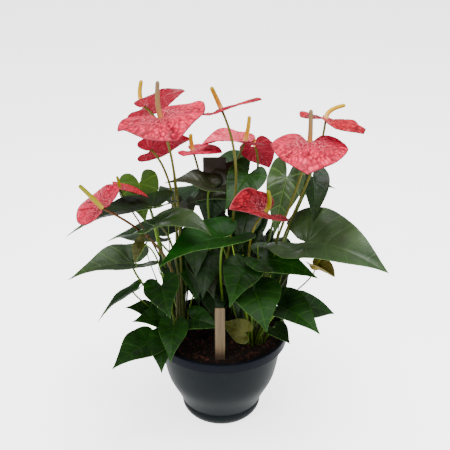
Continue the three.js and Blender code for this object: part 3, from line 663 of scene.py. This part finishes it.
for i, shoot in enumerate(shoots):
    for j, extra in enumerate(shoot["leaves"]):
        base = (shoot["foot"][0] + (j - 1) * shootStep[0], shoot["foot"][1] + (j % 2) * shootStep[1])
        leaf = {"wave": 2, "finish": shoot["finish"], "small": "big" not in shoot, **extra, "base": base}
        addLeaf(f"{shoot['name']}_{j + 1}", leaf, (shoot["name"],), "leaf", 40 + 5 * i + j)

# small dark leaves and spare stalks that fill the middle of the plant, and papery sheaths round
# the crowns; they have no solid of their own
cardLeaves = [
    {"at": (32, 74, 454), "tip": (-57, 52, 417), "face": (-0.1, -0.55, 0.8), "finish": "brown"},
    {"at": (-13, 68, 428), "tip": (-28, 50, 363), "face": (-0.1, -0.8, 0.4), "finish": "dark"},
]
filling = {"leaves": 26, "seed": 31, "span": (-98, 108), "back": (8, 78), "heights": (232, 436),
           "lengths": (48, 86), "lean": 0.4}
spareStalks = {"count": 42, "seed": 23, "reach": 24, "spread": 60, "heights": (235, 420),
               "radii": (1.7, 0.8)}
sheath = {"count": 15, "seed": 5, "length": 30, "ring": (15, 13), "lean": (-4, 9), "heights": (26, 44)}


def addFillLeaves():
    draw = random.Random(filling["seed"])
    shared = {"bow": (0, 10, 0), "wave": 3, "fold": 0.12, "small": True}
    grown = []
    for i in range(filling["leaves"]):
        at = Vector((mix(*filling["span"], (i + draw.random()) / filling["leaves"]),
                     draw.uniform(*filling["back"]), draw.uniform(*filling["heights"])))
        lean = draw.uniform(-filling["lean"], filling["lean"])
        tip = at + Vector((lean, -0.62, -0.72)).normalized() * draw.uniform(*filling["lengths"])
        nearest = min(crown.values(), key=lambda spot: abs(spot[0] - at.x))
        base = (nearest[0] + draw.uniform(-12, 12), nearest[1] + draw.uniform(-4, 20))
        grown.append({**shared, "base": base, "at": at, "tip": tip, "face": (lean, -0.8, 0.5),
                      "bend": draw.uniform(0.5, 1.0), "wide": draw.uniform(0.7, 1.0),
                      "finish": ("dark", "mid", "dark", "brown")[i % 4]})
    for i, place in enumerate(cardLeaves):
        grown.append({**shared, "base": near("back", 8 * i - 6, -2), "bend": 0.6, "wide": 0.95, **place})
    blades = {"dark": [], "mid": [], "brown": []}
    stems = []
    for i, leaf in enumerate(grown):
        blade, stem = leafParts(leaf, 80 + i)
        blades[leaf["finish"]].append(blade)
        stems.append(stem)
    for finish, parts in blades.items():
        addBlade(f"inner_leaves_{finish}", fuseMeshes(parts), finish)
    addPiece("inner_petioles", fuseMeshes(stems), [stalkFinishes["dark"]], "stalk")


def addSpareStalks():
    draw = random.Random(spareStalks["seed"])
    stems = {"light": [], "leaf": [], "dark": []}
    for i in range(spareStalks["count"]):
        name = ("left", "right", "back", "right")[i % 4]
        base = near(name, draw.uniform(-16, 16), draw.uniform(-14, spareStalks["reach"]))
        end = Vector((base[0] + draw.uniform(-1, 1) * spareStalks["spread"], base[1] + draw.uniform(-6, 50),
                      draw.uniform(*spareStalks["heights"])))
        line = stalkLine(base, end, Vector((0, 0, 1)), straight, stalk["leafPull"])
        stems[("light", "leaf", "dark")[i % 3]].append(stalkMesh(line, spareStalks["radii"], 0))
    for skin, parts in stems.items():
        addPiece(f"spare_stalks_{skin}", fuseMeshes(parts), [stalkFinishes[skin]], "stalk")


def addSheaths():
    draw = random.Random(sheath["seed"])
    parts = []
    for i in range(sheath["count"]):
        name = ("left", "right", "back")[i % 3]
        turn = draw.uniform(0, 2 * pi)
        across, deep = sheath["ring"]
        foot = Vector((*near(name, across * cos(turn), deep * sin(turn)), soilTop - 2))
        out = Vector((cos(turn), sin(turn), 0))
        tip = foot + out * draw.uniform(*sheath["lean"]) + Vector((0, 0, draw.uniform(*sheath["heights"])))
        blade = {"at": foot, "tip": tip, "face": -out, "bend": 0.5, "fold": 0.5, "wide": 0.42}
        parts.append(bladeMesh(blade, leafShape, 24, 10, leafRelief(sheath["length"], i))[0])
    addBlade("crown_sheaths", fuseMeshes(parts), "sheath")


addFillLeaves()
addSpareStalks()
addSheaths()
print("leaves grown")


# at = where the spathe meets its stalk, spadix = the top of the spadix
flowers = [
    {"base": near("left", 7, -6), "bow": (0, 50, 0), "wave": 6, "phase": 0.2, "fold": 0.05, "bend": 0.7,
     "at": (-98, -60, 622), "tip": (-66, -140, 612), "face": (0.05, -0.6, 0.9), "spadix": (-101, -55, 684),
     "wide": 1.5, "notch": 3.05, "finish": "coral", "core": "ripe"},
    {"base": near("left", -2, 5), "bow": (-6, 80, 0), "wave": 3, "phase": 1.5, "fold": -0.1, "bend": 0.3,
     "at": (-131, 22, 614), "tip": (-62, 80, 621), "face": (0, 0.9, 0.6), "spadix": (-135, 30, 659),
     "wide": 0.85, "finish": "red", "core": "yellow"},
    {"base": near("back", -3, -16), "wave": 2, "fold": 0.05, "bend": 0.3,
     "at": (3, -45, 629), "tip": (67, -79, 660), "face": (-0.35, 0.32, 0.88), "spadix": (-15, -50, 672),
     "finish": "red", "core": "orange"},
    {"base": near("back", 6, 16), "bow": (0, 44, 0), "wave": 3, "fold": 0.25, "bend": 0.7,
     "at": (43, 100, 517), "tip": (-37, 75, 521), "face": (0, 0.1, 1), "spadix": (52, 105, 568),
     "finish": "pink", "core": "yellow"},
    {"base": near("right", 4, -4), "bow": (-5, 40, 0), "wave": 3, "phase": 1.5, "fold": -0.1, "bend": 0.6,
     "at": (151, -30, 569), "tip": (138, -143, 555), "face": (0, -0.2, 1), "spadix": (151, -25, 625),
     "finish": "coral", "core": "ripe"},
    {"base": near("right", 10, 23), "bow": (2, 28, 0), "wave": 8, "phase": 0.8, "bend": 0.6,
     "at": (184, 40, 585), "tip": (237, -40, 582), "face": (0.4, -0.1, 0.9), "spadix": (219, 50, 607),
     "finish": "red", "core": "yellow"},
    {"base": near("left", -9, -9), "bow": (48, 12, 4), "wave": 2, "fold": 0.1, "bend": 0.4, "wide": 0.95,
     "at": (-198, -98, 478), "tip": (-236, -26, 459), "face": (-0.6, -0.1, 0.8), "spadix": (-231, -111, 525),
     "finish": "coral", "core": "green", "skin": "brown"},
    {"base": near("right", -4, 8), "bow": (0, 40, 0), "wave": 2, "fold": 0.3, "bend": 0.4,
     "at": (77, -70, 457), "tip": (14, -112, 482), "face": (-0.1, -0.35, 0.9), "spadix": (79, -75, 500),
     "finish": "wine", "core": "green"},
    {"base": near("left", 3, 12), "bow": (0, 20, 0), "wave": 3, "fold": 0.1, "bend": 0.4, "wide": 0.75,
     "at": (-127, 75, 513), "tip": (-54, 110, 521), "face": (0.15, 0.9, 0.4), "spadix": (-118, 100, 546),
     "finish": "red", "core": "orange"},
    {"base": near("back", -6, 22), "wave": 1, "bend": 0.4, "wide": 0.9,
     "at": (-52, 95, 505), "tip": (3, 62, 513), "face": (-0.1, 0.05, 1), "spadix": (-55, 95, 537),
     "finish": "coral", "core": "orange"},
    {"base": near("back", 16, 28), "bow": (12, 50, 0), "wave": 2, "fold": 0.1, "bend": 0.4,
     "at": (64, 112, 503), "tip": (92, 128, 456), "face": (0, 0.95, 0.35), "spadix": (62, 150, 507),
     "finish": "red", "core": "orange"},
]

youngFlowers = [
    {"name": "young_flower_left", "base": near("left", -8, 5), "bow": (20, 60, 0), "fold": 0.3, "bend": 0.3,
     "at": (-179, -4, 471), "tip": (-126, -18, 460), "face": (0, 0.1, 0.95), "spadix": (-182, -4, 495),
     "scale": 0.7, "wide": 0.5, "finish": "red", "core": "green", "skin": "brown"},
    {"name": "young_flower_right", "base": near("right", 16, -6), "bow": (0, 30, 0), "fold": 0.6,
     "at": (172, -20, 319), "tip": (205, -45, 315), "face": (0.5, -0.2, 0.8), "spadix": (182, -20, 342),
     "bend": 0.3, "scale": 0.6, "finish": "bract", "core": "green"},
]

spatheDetail = {
    "spokes": 208, "rings": 76, "thickness": 0.8, "fullSize": 90,  # smaller spathes have less relief
    "pucker": 1.1, "around": 11, "outward": 14, "warp": 0.35, "valley": 0.55,
    "rib": 1.4, "ribWidth": 0.3, "fan": 0.5,  # main veins fan out from the spadix
}
spadixDetail = {
    "radius": 4.3, "taper": 1.1, "capStart": 0.93, "steps": 110, "sides": 48,
    "floret": 0.28, "around": 12, "rows": 26,
}


def spatheRelief(length, seed):
    size = min(1, length / spatheDetail["fullSize"])

    def reliefAt(angle, share, phase, out):
        spot = Vector((angle * spatheDetail["around"], sqrt(share) * spatheDetail["outward"], seed))
        # noise_vector gives other values in each run, so the puckers shift by up to 1 mm or so
        spot += spatheDetail["warp"] * noise.noise_vector(spot * 0.8)
        first, second = noise.voronoi(spot)[0][:2]
        puff = min(1, (second - first) / spatheDetail["valley"]) ** 0.7  # bulges between sunken lines
        ray = angle / spatheDetail["fan"] + 0.25 * noise.noise(Vector((4 * share, angle, seed)))
        rib = min(1, abs(ray - floor(ray + 0.5)) * 2 / spatheDetail["ribWidth"])
        # no relief at the stalk and less at the rim
        fade = smooth(share * length, 6, 20) * (1 - 0.7 * smooth(out, 0.86, 1))
        lift = spatheDetail["pucker"] * (puff - 0.5) + spatheDetail["rib"] * (rib - 0.8)
        # the second value sets the painted shade in the sunken lines and the painted highlight on the bulges
        return fade * lift * size, mix(0.5, 0.75 * puff + 0.25 * rib, fade)

    return reliefAt


def addSpadix(name, line, scale, material, replaced):
    start = spadixDetail["capStart"]

    def floretAt(share, turn):
        around = spadixDetail["around"] * turn / (2 * pi)
        upward = spadixDetail["rows"] * share
        return abs(sin(pi * (around + upward)) * sin(pi * (around - upward)))  # crossed spirals

    def radiusAt(share, turn):
        if share == 0:
            return 0
        body = spadixDetail["radius"] - spadixDetail["taper"] * share
        cap = sqrt(max(0, 1 - (max(0, share - start) / (1 - start)) ** 2))
        return scale * (body + spadixDetail["floret"] * floretAt(share, turn)) * cap

    bm = rodMesh(line, spadixDetail["sides"], radiusAt, floretAt)
    addPiece(name, bm, [material], "spadix", replaced)


def addFlower(flower, names, scale, replaced, seed):
    relief = spatheRelief(bladeFrame(flower)["length"], seed)
    outline = {**spatheShape, "notch": flower.get("notch", spatheShape["notch"])}
    bm, axes = bladeMesh(flower, outline, spatheDetail["spokes"], spatheDetail["rings"], relief)
    upper = spatheFinishes[flower["finish"]]
    back = [upper, upper] if flower["finish"] == "bract" else [spatheUnder, spatheRim]
    spathe = addPiece(names[1], bm, [upper, *back], "spathe", replaced[1])
    addThickness(spathe, spatheDetail["thickness"])
    start, face = axes["start"], axes["face"]
    line = stalkLine(flower["base"], start, face, flower.get("bow", straight), stalk["flowerPull"])
    stem = stalkMesh(line, [radius * scale for radius in stalk["peduncle"]], 0)
    skin = stalkFinishes[flower.get("skin", "flower")]
    addPiece(names[0], stem, [skin], "stalk", replaced[0])
    top = Vector(flower["spadix"])
    lean = start + face * (0.45 * (start - top).length)
    bend = interpolate_bezier(start, start.lerp(lean, 2 / 3), top.lerp(lean, 2 / 3), top,
                              spadixDetail["steps"])
    addSpadix(names[2], [bend[0]] + bend, scale, spadixFinishes[flower["core"]], replaced[2])


for i, flower in enumerate(flowers):
    names = [f"{part}_{i + 1}" for part in ("peduncle", "spathe", "spadix")]
    addFlower(flower, [name + "_fine" for name in names], 1, [(name,) for name in names], 3.7 * i)

for i, flower in enumerate(youngFlowers):
    name = flower["name"]
    addFlower(flower, [f"{name}_{part}" for part in ("stalk", "spathe", "spadix")], flower["scale"],
              [(name,)] * 3, 60 + i)
print("flowers open")


# lines are radius and height, and those of the inside start from the pot's floor
pot = {
    "height": 179, "lipRadius": 125, "lipHeight": 18.5, "lipWall": 2.6, "rim": 118.3, "wall": 3,
    "floor": 4, "turns": 128, "sharp": 38, "holes": 5, "holeRadius": 5, "holeCircle": 42,
    "footBand": [(0, 0), (61, 0), (62, 0.4), (66, 2.6), (69.5, 6), (72.4, 10), (74.5, 14), (75.8, 18),
                 (76.2, 21), (76.1, 24), (75.5, 26.2), (74.9, 27.4), (75.1, 28.3)],
    "bowl": [(75.8, 29), (85.4, 50), (101.7, 84), (109.8, 120), (115, 158)],
    "inside": [(70.5, 14), (67.5, 6), (62, 0), (0, 0)],
}


def bowlLine(count, inset=0):
    # smooth line through the bowl's points, as radius and height
    knots = [Vector((r, z)) for r, z in pot["bowl"]]
    ends = [knots[0] * 2 - knots[1]] + knots + [knots[-1] * 2 - knots[-2]]
    line = []
    for i in range(count + 1):
        spot = (len(knots) - 1) * i / count
        k = min(int(spot), len(knots) - 2)
        t = spot - k
        a, b, c, d = ends[k:k + 4]
        point = 0.5 * ((2 * b) + (c - a) * t + (2 * a - 5 * b + 4 * c - d) * t * t
                       + (3 * b - a - 3 * c + d) * t ** 3)
        line.append((point.x - inset, point.y))
    return line


def turnedMesh(profile, turns):
    # spins a line of radius and height points round the upright axis
    bm = bmesh.new()
    verts = [bm.verts.new((r, 0, z)) for r, z in profile]
    edges = [bm.edges.new(pair) for pair in zip(verts, verts[1:])]
    bmesh.ops.spin(bm, geom=verts + edges, cent=(0, 0, 0), axis=(0, 0, 1), angle=2 * pi, steps=turns,
                   use_merge=True)
    closeSeams(bm, 0.02)
    return bm


def potMaterial():
    # polypropylene, injection moulded: satin anthracite with faint patches of dust, and painted shade on the
    # lip band
    material = newMaterial("polypropylene_anthracite")
    place = addNode(material, "TexCoord").outputs["Object"]
    cloud = addNode(material, "TexNoise", {"Vector": place, "Scale": 18, "Detail": 5,
                                           "Roughness": 0.6})  # dust in patches of 55 mm
    grit = addNode(material, "TexNoise", {"Vector": place, "Scale": 900, "Detail": 2})  # 1.1 mm grain
    dust = addNode(material, "MapRange", {"Value": cloud, "From Min": 0.4, "From Max": 0.75, "To Max": 0.35})
    tone = addNode(material, "Mix", {"Factor": dust, 6: "#0E1214", 7: "#161B1D"}, data_type="RGBA")
    height = addNode(material, "SeparateXYZ", {"Vector": place})
    # painted shade: above 158 mm the lip band is darkened towards a bluer black
    lip = addNode(material, "MapRange", {"Value": height.outputs["Z"], "From Min": 0.158,
                                         "From Max": 0.163, "To Max": 0.7})
    lipShaded = addNode(material, "Mix", {"Factor": lip, 6: tone, 7: "#070912"},
                     data_type="RGBA")  # painted shade: the lip band is painted darker and bluer than the same plastic below it
    gloss = addNode(material, "MapRange", {"Value": cloud, "To Min": 0.36, "To Max": 0.5})
    bump = addNode(material, "Bump", {"Height": grit, "Strength": 0.12, "Distance": 0.0003})
    return finishMaterial(material, {"Base Color": lipShaded, "Roughness": gloss, "Normal": bump,
                                     "IOR": 1.49, "Specular IOR Level": 0.03})


def addPot():
    top, lip, wall, rim = pot["height"], pot["lipRadius"], pot["lipWall"], pot["rim"]
    lipBottom = top - pot["lipHeight"]
    under = [(rim + 0.6, top - 6), (lip - wall - 0.4, top - 6), (lip - wall, top - 6.4)]
    band = [(lip - wall, lipBottom + 0.5), (lip - wall + 0.5, lipBottom), (lip - 0.8, lipBottom),
            (lip - 0.3, lipBottom + 0.5), (lip, top - 2.4), (lip - 0.25, top - 1.1), (lip - 0.9, top - 0.35),
            (lip - 1.9, top), (rim + 1.8, top), (rim + 0.7, top - 0.3), (rim, top - 1.3)]
    inside = bowlLine(20, pot["wall"])[::-1] + [(r, z + pot["floor"]) for r, z in pot["inside"]]
    bm = turnedMesh(pot["footBand"] + bowlLine(26) + under + band + inside, pot["turns"])
    piece = addPiece("pot_fine", bm, [potMaterial()], "pot", ("pot",))
    drill = bmesh.new()
    for i in range(pot["holes"]):
        turn = 2 * pi * (i + 0.5) / pot["holes"]
        middle = Matrix.Translation((pot["holeCircle"] * cos(turn), pot["holeCircle"] * sin(turn), 0))
        bmesh.ops.create_cone(drill, cap_ends=True, segments=24, radius1=pot["holeRadius"],
                              radius2=pot["holeRadius"], depth=20, matrix=middle)
    bmesh.ops.scale(drill, vec=(mm, mm, mm), verts=drill.verts)
    mesh = bpy.data.meshes.new("drill")
    drill.to_mesh(mesh)
    drill.free()
    cutter = bpy.data.objects.new("drill", mesh)
    bpy.context.scene.collection.objects.link(cutter)
    cut = piece.modifiers.new("drain holes", "BOOLEAN")
    cut.object = cutter
    cut.operation = "DIFFERENCE"
    cut.solver = "EXACT"
    cleared = bpy.data.meshes.new_from_object(piece.evaluated_get(bpy.context.evaluated_depsgraph_get()))
    piece.modifiers.remove(cut)
    piece.data = cleared
    bpy.data.objects.remove(cutter)
    piece.data.set_sharp_from_angle(angle=radians(pot["sharp"]))


addPot()
print("pot turned")


soil = {
    "rings": 70, "turns": 150, "gap": 0.35, "crown": 1.2, "sink": 5.5, "sinkSpan": (88, 117),
    "edgeOut": 2.2, "edgeDrop": 4.5,  # where the surface meets the pot's wall
    "line": [(0, 0), (62, 0), (67, 6.15), (70, 13.65)],  # radius and height above its underside
    "lumps": [(2.2, 17, 0), (1.3, 6.5, 5), (0.7, 2.6, 0)],  # height and width of a lump, and a shift
}
chip = {
    "count": 760, "seed": 11, "spread": 113, "small": (1.2, 3.2), "big": (3, 6.5), "splinter": 0.3,
    "turn": 6.28, "tilt": 0.7, "width": (0.4, 0.8), "height": (0.2, 0.45), "rough": 0.35,
}


def soilHeight(x, y):
    # a little higher in the middle than at the pot's wall, with lumps of three sizes
    level = soilTop + soil["crown"] - soil["sink"] * smooth(sqrt(x * x + y * y), *soil["sinkSpan"])
    for height, width, shift in soil["lumps"]:
        level += height * noise.noise(Vector((x, y, 0)) / width + Vector((shift, 0, 0)))
    return level


def soilMaterial(name, dark, light, scale):
    # peat potting soil: crumbly, very dark when moist, with brown fibres and pale specks
    material = newMaterial(name)
    place = addNode(material, "TexCoord").outputs["Object"]
    crumbs = addNode(material, "TexNoise", {"Vector": place, "Scale": scale, "Detail": 6,
                                            "Roughness": 0.7})
    tone = addNode(material, "ValToRGB", {"Fac": crumbs},
                   stops=[(0.36, dark), (0.62, light), (0.8, mixHex(light, "#A08468", 0.4))])
    bump = addNode(material, "Bump", {"Height": crumbs, "Strength": 0.8, "Distance": 0.002})
    return finishMaterial(material, {"Base Color": tone, "Roughness": 0.92, "Normal": bump,
                                     "IOR": 1.4, "Specular IOR Level": 0.2})


peat = soilMaterial("peat_soil", "#060302", "#170D08", 160)  # crumbs of 6 mm
bark = soilMaterial("pine_bark", "#140A06", "#43231A", 240)  # fibres of 4 mm


def addSoil():
    bottom = pot["floor"] + soil["gap"]
    inside = bowlLine(20, pot["wall"] + soil["gap"])
    edge = inside[-1][0] + soil["edgeOut"]
    top = [(edge, soilTop - soil["edgeDrop"])]
    for i in range(1, soil["rings"] + 1):
        top.append((edge * (1 - i / soil["rings"]), soilTop))
    bm = turnedMesh([(r, z + bottom) for r, z in soil["line"]] + inside + top, soil["turns"])
    for vert in bm.verts:
        if vert.co.z > soilTop - soil["edgeDrop"] - 0.5:  # the surface and its edge
            vert.co.z = soilHeight(vert.co.x, vert.co.y)
    addPiece("soil_fine", bm, [peat], "soil", ("soil",))


def addChips():
    # flat bark chips and crumbs that lie half sunk in the peat
    draw = random.Random(chip["seed"])
    bm = bmesh.new()
    for i in range(chip["count"]):
        far = chip["spread"] * sqrt(draw.random())
        turn = draw.uniform(0, 2 * pi)
        x, y = far * cos(turn), far * sin(turn)
        size = draw.uniform(*chip["small" if i % 4 else "big"])
        thin = 1 if i % 5 else chip["splinter"]  # every fifth one is a splinter
        made = bmesh.ops.create_icosphere(bm, subdivisions=1, radius=1)
        for vert in made["verts"]:
            vert.co *= 1 + chip["rough"] * noise.noise(vert.co * 1.7 + Vector((i, 0, 0)))
        swing = Matrix.Rotation(draw.uniform(0, chip["turn"]), 4, "Z")
        tilt = Matrix.Rotation(draw.uniform(-chip["tilt"], chip["tilt"]), 4, "X")
        shape = Matrix.Diagonal((size / sqrt(thin), size * thin * draw.uniform(*chip["width"]),
                                 size * draw.uniform(*chip["height"]), 1))
        spot = Matrix.Translation((x, y, soilHeight(x, y) + 0.3))
        bmesh.ops.transform(bm, matrix=spot @ (swing @ tilt) @ shape, verts=made["verts"])
    addPiece("soil_bark_chips", bm, [bark], "soil")


addSoil()
addChips()
print("soil filled")


stick = {"x": -1.5, "y": -93, "width": 18, "thickness": 2, "top": 280, "depth": 45, "point": (5, 14),
         "corner": 1.2}
card = {"x": -12, "y": 90, "width": 43, "thickness": 1.2, "top": 493, "bottom": 379, "stem": 12,
        "depth": 40, "corner": 2.2}


def plateMesh(outline, thickness, y, corner):
    # a flat plate from an outline of x and z points, with rounded corners and softened edges
    bm = bmesh.new()
    ring = [bm.verts.new((x, y - thickness / 2, z)) for x, z in outline]
    face = bm.faces.new(ring)
    bmesh.ops.bevel(bm, geom=list(bm.verts), offset=corner, segments=4, profile=0.5, affect="VERTICES",
                    material=-1)
    made = bmesh.ops.extrude_face_region(bm, geom=bm.faces[:])
    verts = [item for item in made["geom"] if isinstance(item, bmesh.types.BMVert)]
    bmesh.ops.translate(bm, vec=(0, thickness, 0), verts=verts)
    bmesh.ops.recalc_face_normals(bm, faces=bm.faces)
    rims = [edge for edge in bm.edges if len(edge.link_faces) == 2
            and edge.calc_face_angle() > 1.2]
    bmesh.ops.bevel(bm, geom=rims, offset=0.22 * thickness, segments=2, profile=0.5, affect="EDGES",
                    material=-1)
    return bm


def stickMaterial():
    # birch veneer stick: fine lengthwise grain, dry and pale, stained by the soil at its foot
    material = newMaterial("birch_veneer")
    place = addNode(material, "TexCoord").outputs["Object"]
    stretched = addNode(material, "Mapping", {"Vector": place, "Scale": (420, 420, 14)})
    grain = addNode(material, "TexNoise", {"Vector": stretched, "Scale": 1,
                                           "Detail": 5})  # 2.4 mm wide so that it shows, 70 mm long
    wood = addNode(material, "ValToRGB", {"Fac": grain},
                   stops=[(0.3, "#382A14"), (0.5, "#4A391E"), (0.75, "#5C4A2B")])
    parts = addNode(material, "SeparateXYZ", {"Vector": place})
    cloud = addNode(material, "TexNoise", {"Vector": place, "Scale": 90, "Detail": 3})  # 11 mm wide
    uneven = addNode(material, "Math", {0: cloud, 1: 0.02}, operation="MULTIPLY")
    height = addNode(material, "Math", {0: parts.outputs["Z"], 1: uneven}, operation="SUBTRACT")
    damp = addNode(material, "MapRange", {"Value": height, "From Min": 0.165, "From Max": 0.185,
                                          "To Min": 0.75, "To Max": 0.0})
    tone = addNode(material, "Mix", {"Factor": damp, 6: wood, 7: "#2A1A0C"}, data_type="RGBA")
    bump = addNode(material, "Bump", {"Height": grain, "Strength": 0.3, "Distance": 0.0004})
    return finishMaterial(material, {"Base Color": tone, "Roughness": 0.72, "Normal": bump, "IOR": 1.5})


def cardMaterial():
    # printed polystyrene card: dark brown ink, smooth, a little lighter where it is worn
    material = newMaterial("polystyrene_card_brown")
    place = addNode(material, "TexCoord").outputs["Object"]
    cloud = addNode(material, "TexNoise", {"Vector": place, "Scale": 26, "Detail": 4})  # 38 mm wide
    tone = addNode(material, "ValToRGB", {"Fac": cloud},
                   stops=[(0.3, "#140B05"), (0.6, "#1F1309"), (0.85, "#2A1C10")])
    return finishMaterial(material, {"Base Color": tone, "Roughness": 0.5, "IOR": 1.55,
                                     "Specular IOR Level": 0.2})


def addStick():
    half = stick["width"] / 2
    left, right = stick["x"] - half, stick["x"] + half
    bottom = soilTop - stick["depth"]
    cut, rise = stick["point"]
    outline = [(left + cut, bottom), (right - cut, bottom), (right, bottom + rise), (right, stick["top"]),
               (left, stick["top"]), (left, bottom + rise)]
    plate = plateMesh(outline, stick["thickness"], stick["y"], stick["corner"])
    addPiece("stick_label_fine", plate, [stickMaterial()], "wood", ("stick_label",))


def addCard():
    half, stem, x = card["width"] / 2, card["stem"] / 2, card["x"]
    bottom = soilTop - card["depth"]
    right = [(x + stem - 3, bottom), (x + stem, soilTop - 20), (x + stem, card["bottom"] - 12),
             (x + half, card["bottom"]), (x + half, card["top"])]
    left = [(2 * x - a, b) for a, b in right[::-1]]
    plate = plateMesh(right + left, card["thickness"], card["y"], card["corner"])
    addPiece("care_card_fine", plate, [cardMaterial()], "card", ("care_card",))


addStick()
addCard()
print("labels set")


studio = {"floor": 9000, "glow": 2.4, "sky": 0.6, "aim": (0, 0, 350)}


def floorMaterial():
    # matt white studio paper
    material = newMaterial("studio_paper")
    place = addNode(material, "TexCoord").outputs["Object"]
    cloud = addNode(material, "TexNoise", {"Vector": place, "Scale": 3, "Detail": 2})  # 330 mm wide
    tone = addNode(material, "ValToRGB", {"Fac": cloud}, stops=[(0.2, "#F4F4F4"), (0.8, "#FAFAFA")])
    return finishMaterial(material, {"Base Color": tone, "Roughness": 0.9, "Emission Color": "#FFFFFF",
                                     "Emission Strength": studio["glow"]})


def addFloor():
    bm = bmesh.new()
    bmesh.ops.create_grid(bm, x_segments=4, y_segments=4, size=studio["floor"])
    addPiece("studio_floor", bm, [floorMaterial()])


lights = [
    {"name": "overhead", "at": (200, 100, 2400), "size": 1800, "power": 110},
    {"name": "front_left", "at": (-1500, -2000, 1700), "size": 1300, "power": 56},
    {"name": "front_right", "at": (1900, -1300, 1300), "size": 1200, "power": 26},
]


def addLights():
    for lamp in lights:
        data = bpy.data.lights.new(lamp["name"], "AREA")
        data.shape = "DISK"
        data.size = lamp["size"] * mm
        data.energy = lamp["power"]
        light = bpy.data.objects.new(lamp["name"], data)
        light.location = Vector(lamp["at"]) * mm
        aim = Vector(studio["aim"]) * mm - light.location
        light.rotation_euler = aim.to_track_quat("-Z", "Y").to_euler()
        bpy.context.scene.collection.objects.link(light)
    world = bpy.data.worlds.new("studio")
    world.use_nodes = True
    back = world.node_tree.nodes["Background"]
    back.inputs["Color"].default_value = hexColour("#FFFFFF")
    back.inputs["Strength"].default_value = studio["sky"]
    bpy.context.scene.world = world


addFloor()
addLights()
print("studio lit")
